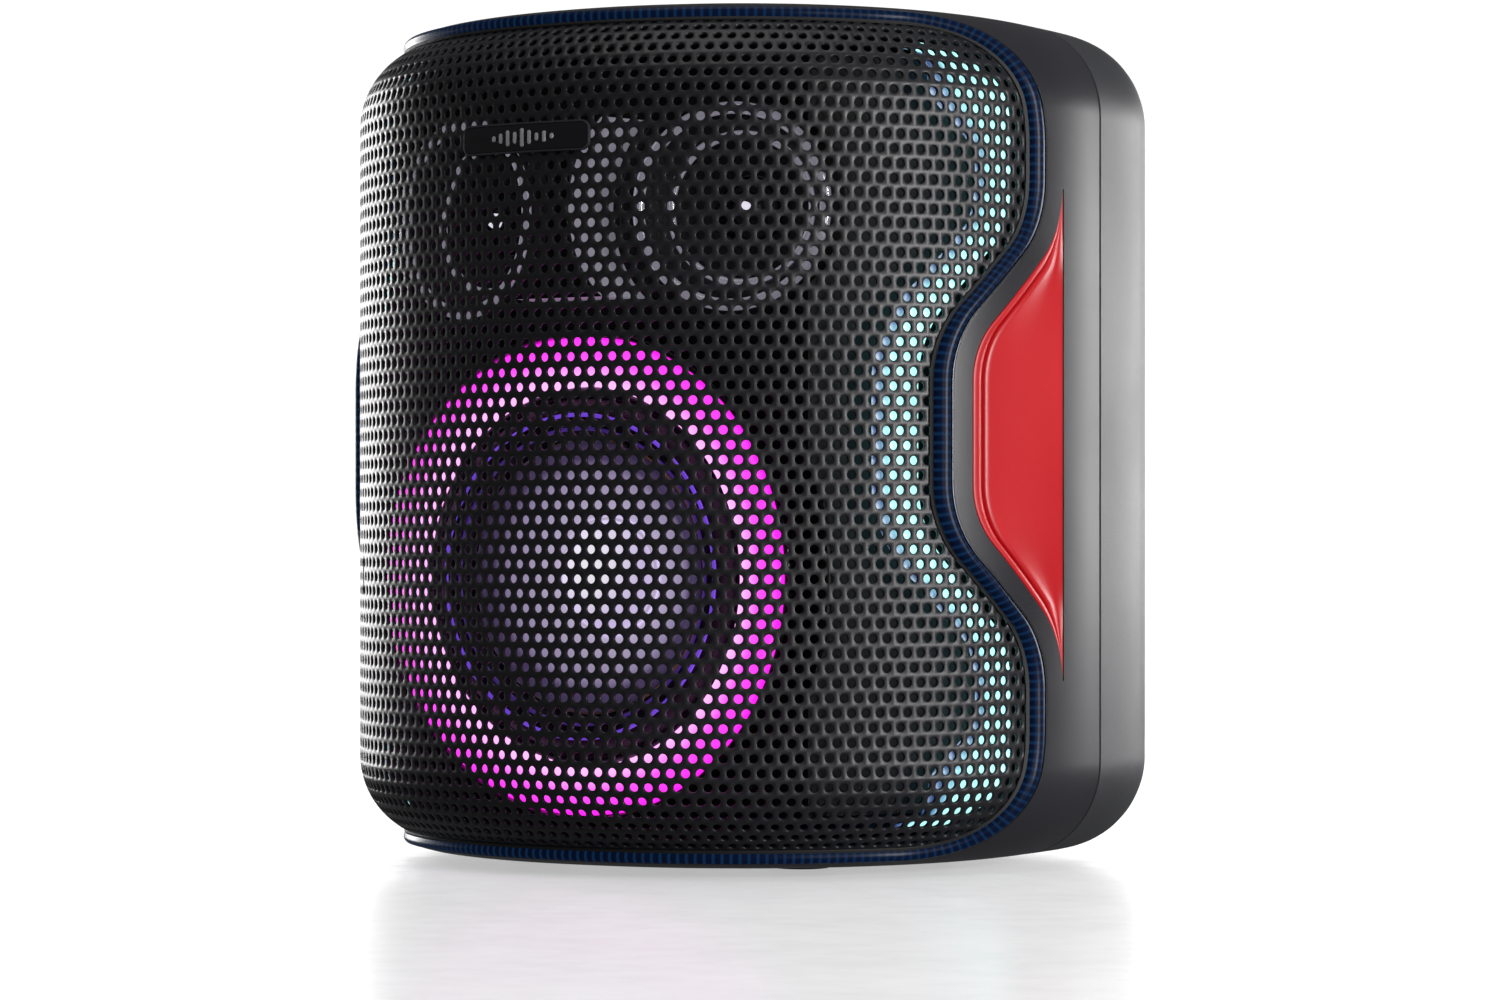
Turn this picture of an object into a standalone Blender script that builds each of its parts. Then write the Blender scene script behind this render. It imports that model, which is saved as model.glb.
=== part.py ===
"""Party speaker: a rounded case with a curved perforated front, two side notches with red
inserts, one woofer with a light ring, two tweeters, and a control panel on top.

The design is worked out in millimetres as (u, w, z): u to the right, w back from the
grille's front-most line, z up from the floor. Objects are placed in metres, +Z up, the
front facing -Y, with the origin on the floor under the middle of the bounding box.
"""

import math

import bmesh
import bpy
import numpy as np

MM = 0.001

# Plan of the grille, a superellipse in front and a squarer one behind.
PLAN_HALF_WIDTH = 154.4
PLAN_FRONT_DEPTH = 158.6
PLAN_FRONT_POWER = 2.087
PLAN_REAR_DEPTH = 96.4
PLAN_REAR_POWER = 4.0
SKIN_PROUD = 4.0            # the case's skin stands this far outside the grille

# Case
FOOT_HEIGHT = 3.0
CASE_HEIGHT = 330.0
EDGE_RADIUS = 38.0          # roundover of the case along its top and bottom
WALL = 3.0
SEAM_W = 168.0              # where the front shell meets the rear shell
SEAM_GAP = 0.5
GAP = 0.3                   # clearance between touching pieces

# Front opening, unrolled: s along the plan from the front centre, v up the skin
OPENING_SIDE_S = 217.6
OPENING_TOP_V = 340.7
OPENING_CORNER = 60.0
NOTCH_S = 169.3
NOTCH_CENTRE_V = 169.0
NOTCH_INNER_HALF = 36.0
NOTCH_OUTER_HALF = 81.5
NOTCH_RADIUS = 40.0
END_INSET_RATIO = 0.55      # pieces inside the opening sit closer to its top and bottom

# Red side inserts
INSERT_FRONT_S = 178.4
INSERT_REAR_S = 228.5
INSERT_INNER_HALF = 33.0
INSERT_OUTER_HALF = 80.0
INSERT_INNER_RADIUS = 31.0
INSERT_TIP_HALF = 86.0

# Grille, light guide and badge
GRILLE_INSET = 8.2
GRILLE_THICKNESS = 1.2
GUIDE_SECTION = ((0.5, 0.2), (3.2, -0.3), (6.6, 1.2), (6.9, 7.0), (1.8, 7.0), (1.6, 3.0))
BADGE_WIDTH = 58.0
BADGE_HEIGHT = 11.6
BADGE_V = 281.0
BADGE_CORNER = 3.6
BADGE_PROUD = 1.8

# Side light bars, behind the grille and along the opening's edge
BAR_OUTER_INSET = 10.0
BAR_INNER_INSET = 38.0
BAR_DEPTH = 10.0
BAR_THICKNESS = 3.0
BAR_END_S = 166.0

# Front baffle
BAFFLE_W = 46.0
BAFFLE_THICKNESS = 6.0
BAFFLE_FLAT_HALF = 98.0
BAFFLE_WING_DEPTH = 21.0
BAFFLE_LOW_Z = 24.0
BAFFLE_HIGH_Z = 312.0

# Drivers
WOOFER_Z = 114.2
RING_INNER_RADIUS = 74.0
RING_OUTER_RADIUS = 92.0
RING_W = 33.0
TWEETER_U = 62.0
TWEETER_W = 50.0
TWEETER_Z = 255.7
TWEETER_TOE = math.radians(14.0)
TWEETER_RADIUS = 46.0
CENTRE_BAR_TALL = 69.0
CENTRE_BAR_W = 22.0
CENTRE_BAR_HOLLOW_U = 50.0
CENTRE_BAR_SPREAD = 6.0

# Top control panel and its buttons
PANEL_W = 108.0
PANEL_LENGTH = 146.0
PANEL_WIDTH = 34.0
PANEL_THICKNESS = 2.4
PANEL_SUNK = 0.4
BUTTON_PITCH = 18.5
BUTTON_RADIUS = 6.4
BUTTON_NAMES = ("button_power", "button_light", "button_previous", "button_play",
                "button_next", "button_volume_down", "button_volume_up")

# Rear: jack bay, cover, bass port, grip
BAY_HALF_WIDTH = 62.0
BAY_LOW_Z = 55.0
BAY_HIGH_Z = 115.0
BAY_FLOOR_W = 240.0
BAY_MOUTH_W = 257.5
BAY_WALL = 2.0
SOCKET_Z = 85.0
SOCKET_DEPTH = 8.0          # how far a socket reaches in front of the bay's floor
SOCKET_PROUD = 1.0          # and how far it stands out of that floor
SOCKET_FLOOR = 2.0
MAINS_INLET = (-40.0, 26.0, 18.0, 20.0, 12.0)     # u, body width, height, mouth width, height
USB_SOCKET = (-8.0, 17.0, 10.0, 13.0, 5.2)
JACKS = (("line_in_jack", 12.0, 5.0, 1.8), ("mic_jack_1", 29.0, 7.0, 3.2),
         ("mic_jack_2", 48.0, 7.0, 3.2))          # name, u, body radius, bore radius
COVER_AXIS_W = 255.6
COVER_AXIS_Z = 58.6
COVER_THICKNESS = 1.8
PORT_Z = 186.0
PORT_RADIUS = 22.0
GRIP_HALF_WIDTH = 55.0
GRIP_LOW_Z = 252.0
GRIP_HIGH_Z = 288.0
GRIP_FLOOR_W = 222.0
MOUTH_FLANGE = 10.0         # width of the port's flared rim

ROUND_STEPS = 20            # sides of the smaller round pieces
SMALL_STEPS = 16

FOOT_RADIUS = 12.0
FOOT_PLACES = ((-62.0, 100.0), (62.0, 100.0), (-62.0, 195.0), (62.0, 195.0))
SCREW_PLACES = ((-92.0, 62.0), (92.0, 62.0), (-92.0, 272.0), (92.0, 272.0))

CASE_MID_Z = FOOT_HEIGHT + CASE_HEIGHT / 2
LOW_EDGE_Z = FOOT_HEIGHT + EDGE_RADIUS
HIGH_EDGE_Z = FOOT_HEIGHT + CASE_HEIGHT - EDGE_RADIUS
CASE_TOP_Z = FOOT_HEIGHT + CASE_HEIGHT
REAR_W = PLAN_FRONT_DEPTH + PLAN_REAR_DEPTH + SKIN_PROUD
MID_W = (REAR_W - BADGE_PROUD) / 2

# colour, roughness, metallic
CASE_GREY = ((0.075, 0.075, 0.085, 1.0), 0.38, 0.0)
REAR_GREY = ((0.095, 0.095, 0.105, 1.0), 0.42, 0.0)
GRILLE_BLACK = ((0.03, 0.03, 0.033, 1.0), 0.42, 0.6)
GUIDE_BLUE = ((0.012, 0.05, 0.17, 1.0), 0.12, 0.0)
INSERT_RED = ((0.72, 0.05, 0.06, 1.0), 0.35, 0.0)
GLOSS_BLACK = ((0.01, 0.01, 0.012, 1.0), 0.12, 0.0)
INNER_BLACK = ((0.02, 0.02, 0.022, 1.0), 0.6, 0.0)
RING_LIGHT = ((0.95, 0.2, 0.85, 1.0), 0.4, 0.0)
BAR_LIGHT = ((0.75, 0.97, 0.95, 1.0), 0.4, 0.0)
CONE_GREY = ((0.5, 0.48, 0.55, 1.0), 0.45, 0.1)
RUBBER_BLACK = ((0.02, 0.02, 0.02, 1.0), 0.75, 0.0)
CHROME = ((0.75, 0.75, 0.78, 1.0), 0.15, 1.0)
STEEL = ((0.45, 0.45, 0.46, 1.0), 0.35, 1.0)
COPPER = ((0.6, 0.3, 0.15, 1.0), 0.4, 1.0)
BOARD_GREEN = ((0.03, 0.16, 0.07, 1.0), 0.5, 0.0)
BATTERY_BLUE = ((0.06, 0.12, 0.3, 1.0), 0.4, 0.0)
ALUMINIUM = ((0.6, 0.6, 0.62, 1.0), 0.4, 1.0)


# ---------------------------------------------------------------- scene and materials

def clear_scene():
    for old in list(bpy.data.objects):
        bpy.data.objects.remove(old, do_unlink=True)


def material(name, finish):
    colour, roughness, metallic = finish
    result = bpy.data.materials.new(name)
    result.use_nodes = True
    shader = result.node_tree.nodes["Principled BSDF"]
    shader.inputs["Base Color"].default_value = colour
    shader.inputs["Roughness"].default_value = roughness
    shader.inputs["Metallic"].default_value = metallic
    return result


def place(u, w, z):
    """A design point in millimetres as a location in metres."""
    return (u * MM, (w - MID_W) * MM, z * MM)


def add_mesh(name, points, faces, finish, origin=(0.0, MID_W, 0.0), turn=(0.0, 0.0, 0.0)):
    """One object from points in millimetres about its own origin."""
    mesh = bpy.data.meshes.new(name)
    mesh.from_pydata([tuple(float(c) * MM for c in point) for point in points], [], faces)
    fix = bmesh.new()
    fix.from_mesh(mesh)
    bmesh.ops.recalc_face_normals(fix, faces=fix.faces)
    fix.to_mesh(mesh)
    fix.free()
    mesh.shade_smooth()
    mesh.set_sharp_from_angle(angle=math.radians(35))
    item = bpy.data.objects.new(name, mesh)
    bpy.context.collection.objects.link(item)
    item.location = place(*origin)
    item.rotation_euler = turn
    item.data.materials.append(material(name + "_finish", finish))
    return item


def design_mesh(name, points, faces, finish):
    """An object whose points are design points (u, w, z)."""
    shifted = [(p[0], p[1] - MID_W, p[2]) for p in points]
    return add_mesh(name, shifted, faces, finish)


def cut(item, *cutters):
    for cutter in cutters:
        cutter.hide_render = True
        cutter.display_type = "WIRE"
        modifier = item.modifiers.new("cut_" + cutter.name, "BOOLEAN")
        modifier.operation = "DIFFERENCE"
        modifier.solver = "EXACT"
        modifier.object = cutter
    return item


# ---------------------------------------------------------------- plan and skin

def plan_curve(count=420):
    """Right half of the plan, front centre to rear centre: s, u, w and outward normal."""
    angle = np.linspace(0.0, math.pi / 2, 3000)
    front_u = PLAN_HALF_WIDTH * np.sin(angle) ** (2 / PLAN_FRONT_POWER)
    front_w = PLAN_FRONT_DEPTH * (1 - np.cos(angle) ** (2 / PLAN_FRONT_POWER))
    rear_u = PLAN_HALF_WIDTH * np.cos(angle[1:]) ** (2 / PLAN_REAR_POWER)
    rear_w = PLAN_FRONT_DEPTH + PLAN_REAR_DEPTH * np.sin(angle[1:]) ** (2 / PLAN_REAR_POWER)
    u = np.concatenate([front_u, rear_u])
    w = np.concatenate([front_w, rear_w])
    length = np.concatenate([[0.0], np.cumsum(np.hypot(np.diff(u), np.diff(w)))])
    s = np.linspace(0.0, length[-1], count)
    u = np.interp(s, length, u)
    w = np.interp(s, length, w)
    slope_u = np.gradient(u, s)
    slope_w = np.gradient(w, s)
    size = np.hypot(slope_u, slope_w)
    return s, u, w, slope_w / size, -slope_u / size


PLAN_S, PLAN_U, PLAN_W, PLAN_NU, PLAN_NW = plan_curve()


def skin(s, v, depth):
    """The point at (s, v), this deep under the case's skin."""
    side = math.copysign(1.0, s)
    u = side * np.interp(abs(s), PLAN_S, PLAN_U)
    w = np.interp(abs(s), PLAN_S, PLAN_W)
    normal_u = side * np.interp(abs(s), PLAN_S, PLAN_NU)
    normal_w = np.interp(abs(s), PLAN_S, PLAN_NW)
    flat_v = min(max(v, LOW_EDGE_Z), HIGH_EDGE_Z)
    bend = (v - flat_v) / EDGE_RADIUS
    radius = EDGE_RADIUS - depth
    out = SKIN_PROUD - depth - radius * (1 - math.cos(bend))
    return (u + normal_u * out, w + normal_w * out, flat_v + radius * math.sin(bend))


def plan_distance(u, w):
    """Signed distance from the plan curve, positive outside."""
    start = np.stack([PLAN_U[:-1], PLAN_W[:-1]], 1)
    step = np.stack([np.diff(PLAN_U), np.diff(PLAN_W)], 1)
    point = np.stack([np.abs(u), w], 1)[:, None, :]
    along = ((point - start) * step).sum(2) / (step ** 2).sum(1)
    nearest = start + step * np.clip(along, 0, 1)[:, :, None]
    gap = np.linalg.norm(point - nearest, axis=2)
    best = gap.argmin(1)
    rows = np.arange(len(best))
    offset = point[:, 0, :] - nearest[rows, best]
    outside = offset[:, 0] * PLAN_NU[best] + offset[:, 1] * PLAN_NW[best]
    return np.sign(outside) * gap[rows, best]


def case_distance(points):
    """Signed distance from the case's skin, positive outside."""
    out = plan_distance(points[:, 0], points[:, 1]) - SKIN_PROUD + EDGE_RADIUS
    up = np.abs(points[:, 2] - CASE_MID_Z) - (CASE_HEIGHT / 2 - EDGE_RADIUS)
    beyond = np.hypot(np.maximum(out, 0), np.maximum(up, 0))
    return np.minimum(np.maximum(out, up), 0) + beyond - EDGE_RADIUS


SEAM_CENTRE = np.array([0.0, SEAM_W, CASE_MID_Z])


def cast(directions, depth):
    """Where rays from the seam's centre meet the surface this deep under the skin."""
    near = np.full(len(directions), 50.0)
    far = np.full(len(directions), 300.0)
    for _ in range(34):
        middle = (near + far) / 2
        inside = case_distance(SEAM_CENTRE + directions * middle[:, None]) < -depth
        near = np.where(inside, middle, near)
        far = np.where(inside, far, middle)
    return SEAM_CENTRE + directions * ((near + far) / 2)[:, None]


# ---------------------------------------------------------------- outlines

def rounded_path(corners, arc_steps, straight_steps):
    """Open path through corners (x, y, radius); each straight run in equal steps."""
    stops = []
    for index, (x, y, radius) in enumerate(corners):
        here = np.array([x, y])
        if radius == 0:
            stops.append([here])
            continue
        before = np.array(corners[index - 1][:2]) - here
        after = np.array(corners[index + 1][:2]) - here
        before /= np.linalg.norm(before)
        after /= np.linalg.norm(after)
        half = math.acos(np.clip(before @ after, -1, 1)) / 2
        middle = (before + after) / np.linalg.norm(before + after)
        centre = here + middle * radius / math.sin(half)
        first = here + before * radius / math.tan(half) - centre
        last = here + after * radius / math.tan(half) - centre
        sweep = math.pi - 2 * half
        stops.append([centre + (first * math.sin(sweep * (1 - t)) + last * math.sin(sweep * t))
                      / math.sin(sweep) for t in np.linspace(0, 1, arc_steps[index] + 1)])
    path = list(stops[0])
    for steps, stop in zip(straight_steps, stops[1:]):
        start = path[-1]
        for k in range(1, steps):
            path.append(start + (stop[0] - start) * k / steps)
        path.extend(stop)
    return np.array(path)


NOTCH_SLANT = math.atan2(NOTCH_OUTER_HALF - NOTCH_INNER_HALF, OPENING_SIDE_S - NOTCH_S)
NOTCH_SHIFT = math.tan((math.pi / 2 - NOTCH_SLANT) / 2)


def opening_half(inset):
    """Right half of the front opening drawn in by inset, top centre to bottom centre."""
    top = OPENING_TOP_V - inset * END_INSET_RATIO
    bottom = 2 * CASE_MID_Z - top
    side = OPENING_SIDE_S - inset
    notch = NOTCH_S - inset
    outer = NOTCH_OUTER_HALF + inset * NOTCH_SHIFT
    inner = NOTCH_INNER_HALF + inset * NOTCH_SHIFT
    corner = OPENING_CORNER - inset
    corners = ((0, top, 0), (side, top, corner),
               (side, NOTCH_CENTRE_V + outer, NOTCH_RADIUS - inset),
               (notch, NOTCH_CENTRE_V + inner, NOTCH_RADIUS + inset),
               (notch, NOTCH_CENTRE_V - inner, NOTCH_RADIUS + inset),
               (side, NOTCH_CENTRE_V - outer, NOTCH_RADIUS - inset),
               (side, bottom, corner), (0, bottom, 0))
    return rounded_path(corners, (0, 5, 2, 3, 3, 2, 5, 0), (7, 1, 1, 1, 1, 1, 7))


def opening_loop(inset, depth):
    """The whole opening as a closed loop of design points at a depth."""
    half = opening_half(inset)
    right = [skin(s, v, depth) for s, v in half]
    left = [(-p[0], p[1], p[2]) for p in right[-2:0:-1]]
    return np.array(right + left)


def insert_rows(grow):
    """Rows (v, front s, rear s) of a side insert, grown by a clearance."""
    outer = INSERT_OUTER_HALF + grow * NOTCH_SHIFT
    inner = INSERT_INNER_HALF + grow * NOTCH_SHIFT
    rear = INSERT_REAR_S + grow
    tail = INSERT_REAR_S - grow
    corners = ((tail, 130.0, 0), (tail, outer, NOTCH_RADIUS - grow),
               (INSERT_FRONT_S - grow, inner, INSERT_INNER_RADIUS + grow),
               (INSERT_FRONT_S - grow, 0, 0))
    path = rounded_path(corners, (0, 4, 3, 0), (1, 1, 1))
    tip = INSERT_TIP_HALF + grow
    front_at_tip = np.interp(-tip, -path[:, 1], path[:, 0])
    upper = [(front_at_tip, tip)] + [tuple(p) for p in path if p[1] < tip - 1.0]
    rows = [(NOTCH_CENTRE_V + v, s, rear) for s, v in upper]
    rows += [(NOTCH_CENTRE_V - v, s, rear) for s, v in upper[-2::-1]]
    return rows


# ---------------------------------------------------------------- solids

def ring_solid(rows):
    """Points and faces of a closed ring, from closed loops that follow its section."""
    rows = [list(row) for row in rows]
    count = len(rows[0])
    points = [point for row in rows for point in row]
    faces = []
    for k in range(len(rows)):
        for i in range(count):
            here, there = k * count, (k + 1) % len(rows) * count
            j = (i + 1) % count
            faces.append((here + i, here + j, there + j, there + i))
    return points, faces


def capped_solid(rows, first, last):
    """Points and faces of closed loops that end in one point at each end."""
    count = len(rows[0])
    points = [point for row in rows for point in row] + [first, last]
    start, end = len(points) - 2, len(points) - 1
    faces = []
    for k in range(len(rows) - 1):
        for i in range(count):
            j = (i + 1) % count
            faces.append((k * count + i, k * count + j, (k + 1) * count + j, (k + 1) * count + i))
    base = (len(rows) - 1) * count
    for i in range(count):
        j = (i + 1) % count
        faces.append((start, j, i))
        faces.append((base + i, base + j, end))
    return points, faces


def sheet_solid(outer, inner):
    """Points and faces of a sheet between two equal grids of points."""
    rows, columns = len(outer), len(outer[0])
    points = [p for row in outer for p in row] + [p for row in inner for p in row]
    back = rows * columns
    faces = []
    for r in range(rows - 1):
        for c in range(columns - 1):
            a, b = r * columns + c, (r + 1) * columns + c
            faces.append((a, a + 1, b + 1, b))
            faces.append((back + a, back + b, back + b + 1, back + a + 1))
    rim = [c for c in range(columns)]
    rim += [r * columns + columns - 1 for r in range(1, rows)]
    rim += [(rows - 1) * columns + c for c in range(columns - 2, -1, -1)]
    rim += [r * columns for r in range(rows - 2, 0, -1)]
    for a, b in zip(rim, rim[1:] + rim[:1]):
        faces.append((a, back + a, back + b, b))
    return points, faces


def skin_sheet(rows, columns, outer_depth, inner_depth, mirror=False):
    """A sheet under the skin over rows (v, low s, high s)."""
    side = -1.0 if mirror else 1.0
    grids = []
    for depth in (outer_depth, inner_depth):
        grids.append([[skin(side * (low + (high - low) * c / columns), v, depth)
                       for c in range(columns + 1)] for v, low, high in rows])
    return sheet_solid(*grids)


def turned(name, profile, finish, origin, turn=(0.0, 0.0, 0.0), steps=24):
    """A solid of revolution about its local Z, from a section (radius, height)."""
    circle = [(math.cos(2 * math.pi * i / steps), math.sin(2 * math.pi * i / steps))
              for i in range(steps)]

    def loop(radius, height):
        return [(radius * c, radius * s, height) for c, s in circle]

    if profile[0][0] == 0:
        rows = [loop(*p) for p in profile[1:-1]]
        points, faces = capped_solid(rows, (0, 0, profile[0][1]), (0, 0, profile[-1][1]))
    else:
        points, faces = ring_solid([loop(*p) for p in profile])
    return add_mesh(name, points, faces, finish, origin, turn)


def prism(name, outline, low, high, finish, origin=(0.0, 0.0, 0.0)):
    """An outline (x, y) extruded along Z from low to high."""
    count = len(outline)
    points = [(x, y, low) for x, y in outline] + [(x, y, high) for x, y in outline]
    faces = [tuple(range(count)), tuple(range(2 * count - 1, count - 1, -1))]
    for i in range(count):
        j = (i + 1) % count
        faces.append((i, j, count + j, count + i))
    return add_mesh(name, points, faces, finish, origin)


def rounded_rectangle(width, height, radius, steps=5):
    """Outline of a rectangle with round corners, about its centre."""
    outline = []
    for quarter in range(4):
        x = (width / 2 - radius) * (1 if quarter in (0, 3) else -1)
        y = (height / 2 - radius) * (1 if quarter in (0, 1) else -1)
        for k in range(steps + 1):
            angle = (quarter + k / steps) * math.pi / 2
            outline.append((x + radius * math.cos(angle), y + radius * math.sin(angle)))
    return outline


def block(name, size, centre, finish, bevel=0.0):
    """A box, with its edges bevelled if asked."""
    x, y, z = (c / 2 for c in size)
    outline = ((-x, -y), (x, -y), (x, y), (-x, y))
    item = prism(name, outline, -z, z, finish, centre)
    if bevel:
        edges = item.modifiers.new("edges", "BEVEL")
        edges.width = bevel * MM
        edges.segments = 1
        edges.limit_method = "ANGLE"
    return item


def open_box(name, half_width, low_z, high_z, floor_w, mouth_w, wall, finish):
    """A box without its rear side: the mouth is at mouth_w, the floor in front of it."""
    centre = (0.0, (floor_w + mouth_w) / 2, (low_z + high_z) / 2)
    item = block(name, (2 * half_width, mouth_w - floor_w, high_z - low_z), centre, finish)
    hollow = block(name + "_hollow", (2 * (half_width - wall), mouth_w - floor_w,
                                      high_z - low_z - 2 * wall),
                   (0.0, centre[1] + wall, centre[2]), finish)
    return cut(item, hollow)


FACE_FRONT = (math.pi / 2, 0.0, 0.0)       # local +Z towards the front
FACE_REAR = (-math.pi / 2, 0.0, 0.0)       # local +Z towards the rear


# ---------------------------------------------------------------- case

def blend_directions(start, end, share):
    mixed = start * (1 - share) + end * share
    return mixed / np.linalg.norm(mixed, axis=1)[:, None]


def seam_directions(points):
    flat = points - SEAM_CENTRE
    flat[:, 1] = 0.0
    return flat / np.linalg.norm(flat, axis=1)[:, None]


def front_shell():
    lip = opening_loop(0.0, 0.0)
    start = lip - SEAM_CENTRE
    start /= np.linalg.norm(start, axis=1)[:, None]
    end = seam_directions(lip)
    outer = [cast(blend_directions(start, end, t), 0.0) for t in (0.0, 0.08, 0.25, 0.5, 1.0)]
    inner = [cast(blend_directions(start, end, t), WALL) for t in (1.0, 0.5, 0.2, 0.0)]
    points, faces = ring_solid(outer + inner)
    shell = design_mesh("front_shell", points, faces, CASE_GREY)
    cutters = []
    for side in (False, True):
        rows = insert_rows(GAP)
        points, faces = skin_sheet(rows, 4, -4.0, WALL + 5.0, side)
        cutters.append(design_mesh("insert_hole_%d" % side, points, faces, INSERT_RED))
    outline = rounded_rectangle(PANEL_LENGTH + 2 * GAP, PANEL_WIDTH + 2 * GAP, 8.0 + GAP)
    cutters.append(prism("panel_hole", outline, CASE_TOP_Z - 2 * WALL, CASE_TOP_Z + WALL,
                         CASE_GREY, (0.0, PANEL_W, 0.0)))
    return cut(shell, *cutters)


def rear_shell():
    corner = EDGE_RADIUS
    half_u, half_z = PLAN_HALF_WIDTH + SKIN_PROUD, CASE_HEIGHT / 2
    quarter = rounded_path(((0, half_z, 0), (half_u, half_z, corner), (half_u, 0, 0)),
                           (0, 5, 0), (3, 2))
    right = [tuple(p) for p in quarter] + [(x, -z) for x, z in quarter[-2::-1]]
    outline = right + [(-x, z) for x, z in right[-2:0:-1]]
    ring = np.array([(x, 0.0, z) for x, z in outline])
    seam = ring / np.linalg.norm(ring, axis=1)[:, None]
    back = np.array([[0.0, 1.0, 0.0]])

    def loops(angles, depth):
        rows = []
        for degrees in angles:
            angle = math.radians(degrees)
            rows.append(cast(seam * math.cos(angle) + back * math.sin(angle), depth))
        return rows

    outer = loops((60, 41, 33, 26, 19, 10, 0), 0.0)
    inner = loops((0, 14, 26, 38), WALL)
    for row in (outer[-1], inner[0]):
        row[:, 1] += SEAM_GAP
    points, faces = capped_solid(outer + inner, (0, REAR_W, CASE_MID_Z),
                                 (0, REAR_W - WALL, CASE_MID_Z))
    shell = design_mesh("rear_shell", points, faces, REAR_GREY)
    reach = 4 * WALL
    cutters = []
    for name, low, high, half in (("bay_hole", BAY_LOW_Z, BAY_HIGH_Z, BAY_HALF_WIDTH),
                                  ("grip_hole", GRIP_LOW_Z, GRIP_HIGH_Z, GRIP_HALF_WIDTH)):
        size = (2 * (half + GAP), 2 * reach, high - low + 2 * GAP)
        cutters.append(block(name, size, (0.0, REAR_W, (low + high) / 2), REAR_GREY))
    rim = PORT_RADIUS + MOUTH_FLANGE + GAP
    cutters.append(turned("port_hole", ((0, -reach), (rim, -reach), (rim, reach), (0, reach)),
                          REAR_GREY, (0.0, REAR_W, PORT_Z), FACE_REAR))
    for index, (u, z) in enumerate(SCREW_PLACES):
        cutters.append(turned("screw_hole_%d" % index, ((0, -reach), (4.2, -reach),
                                                        (4.2, reach), (0, reach)),
                              REAR_GREY, (u, REAR_W - 4.0, z), FACE_REAR, 10))
    return cut(shell, *cutters)


def side_insert(name, mirror):
    points, faces = skin_sheet(insert_rows(0.0), 4, GAP, WALL, mirror)
    return design_mesh(name, points, faces, INSERT_RED)


def light_guide():
    rows = [opening_loop(inset, depth) for inset, depth in GUIDE_SECTION]
    points, faces = ring_solid(rows)
    return design_mesh("light_guide", points, faces, GUIDE_BLUE)


def opening_rows(inset):
    """Rows (v, s) of the drawn-in opening, from its top edge to its bottom edge."""
    half = opening_half(inset)
    top, bottom = half[0][1], half[-1][1]
    rows = [(v, s) for s, v in half if bottom + 0.01 < v < top - 0.01]
    width = OPENING_SIDE_S - OPENING_CORNER
    return [(top, width)] + rows + [(bottom, width)]


def grille():
    rows = [(v, -s, s) for v, s in opening_rows(GRILLE_INSET)]
    points, faces = skin_sheet(rows, 16, SKIN_PROUD, SKIN_PROUD + GRILLE_THICKNESS)
    return design_mesh("grille", points, faces, GRILLE_BLACK)


def badge_plate():
    half_height = BADGE_HEIGHT / 2
    rows = []
    for k in range(-4, 5):
        drop = half_height * math.sin(math.pi / 2 * k / 4)
        over = max(abs(drop) - (half_height - BADGE_CORNER), 0.0)
        half_width = BADGE_WIDTH / 2 - BADGE_CORNER + math.sqrt(BADGE_CORNER ** 2 - over ** 2)
        rows.append((BADGE_V - drop, -half_width, half_width))
    points, faces = skin_sheet(rows, 4, SKIN_PROUD - BADGE_PROUD, SKIN_PROUD - GAP)
    return design_mesh("badge_plate", points, faces, GLOSS_BLACK)


def side_light_bar(name, mirror):
    outer = opening_rows(BAR_OUTER_INSET)
    inner = opening_half(BAR_INNER_INSET)
    order = inner[:, 1].argsort()
    low, high = outer[-1][0] + GAP, outer[0][0] - GAP
    rows = []
    for v, s in outer[1:-1]:
        start = np.interp(v, inner[order][:, 1], inner[order][:, 0])
        inside = inner[-1][1] < v < inner[0][1]
        start = max(start, BAR_END_S) if abs(v - CASE_MID_Z) > NOTCH_OUTER_HALF else start
        if not inside:
            start = BAR_END_S
        if s - start > 4.0 and low < v < high:
            rows.append((v, start, s))
    points, faces = skin_sheet(rows, 2, BAR_DEPTH, BAR_DEPTH + BAR_THICKNESS, mirror)
    return design_mesh(name, points, faces, BAR_LIGHT)


# ---------------------------------------------------------------- drivers

def tweeter_place(side):
    return (side * TWEETER_U, TWEETER_W, TWEETER_Z), (math.pi / 2, 0.0, side * TWEETER_TOE)


def baffle():
    """Board that follows the case: flat in the middle, with a wing on each side."""
    wing = np.linspace(150.0, 205.0, 5)
    front, back = [(BAFFLE_FLAT_HALF, BAFFLE_W)], [(BAFFLE_FLAT_HALF, BAFFLE_W + BAFFLE_THICKNESS)]
    for s in wing:
        front.append(skin(s, CASE_MID_Z, BAFFLE_WING_DEPTH)[:2])
        back.append(skin(s, CASE_MID_Z, BAFFLE_WING_DEPTH + BAFFLE_THICKNESS)[:2])
    half = front + back[::-1]
    outline = half + [(-u, w) for u, w in half[::-1]]
    board = prism("baffle", outline, BAFFLE_LOW_Z, BAFFLE_HIGH_Z, INNER_BLACK)
    reach = 60.0
    holes = [turned("woofer_hole", ((0, -reach), (71.0, -reach), (71.0, reach), (0, reach)),
                    INNER_BLACK, (0.0, BAFFLE_W, WOOFER_Z), FACE_FRONT)]
    for side in (-1, 1):
        origin, turn = tweeter_place(side)
        radius = TWEETER_RADIUS + GAP
        holes.append(turned("tweeter_hole_%d" % side, ((0, -reach), (radius, -reach),
                                                       (radius, reach), (0, reach)),
                            INNER_BLACK, origin, turn))
    return cut(board, *holes)


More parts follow.
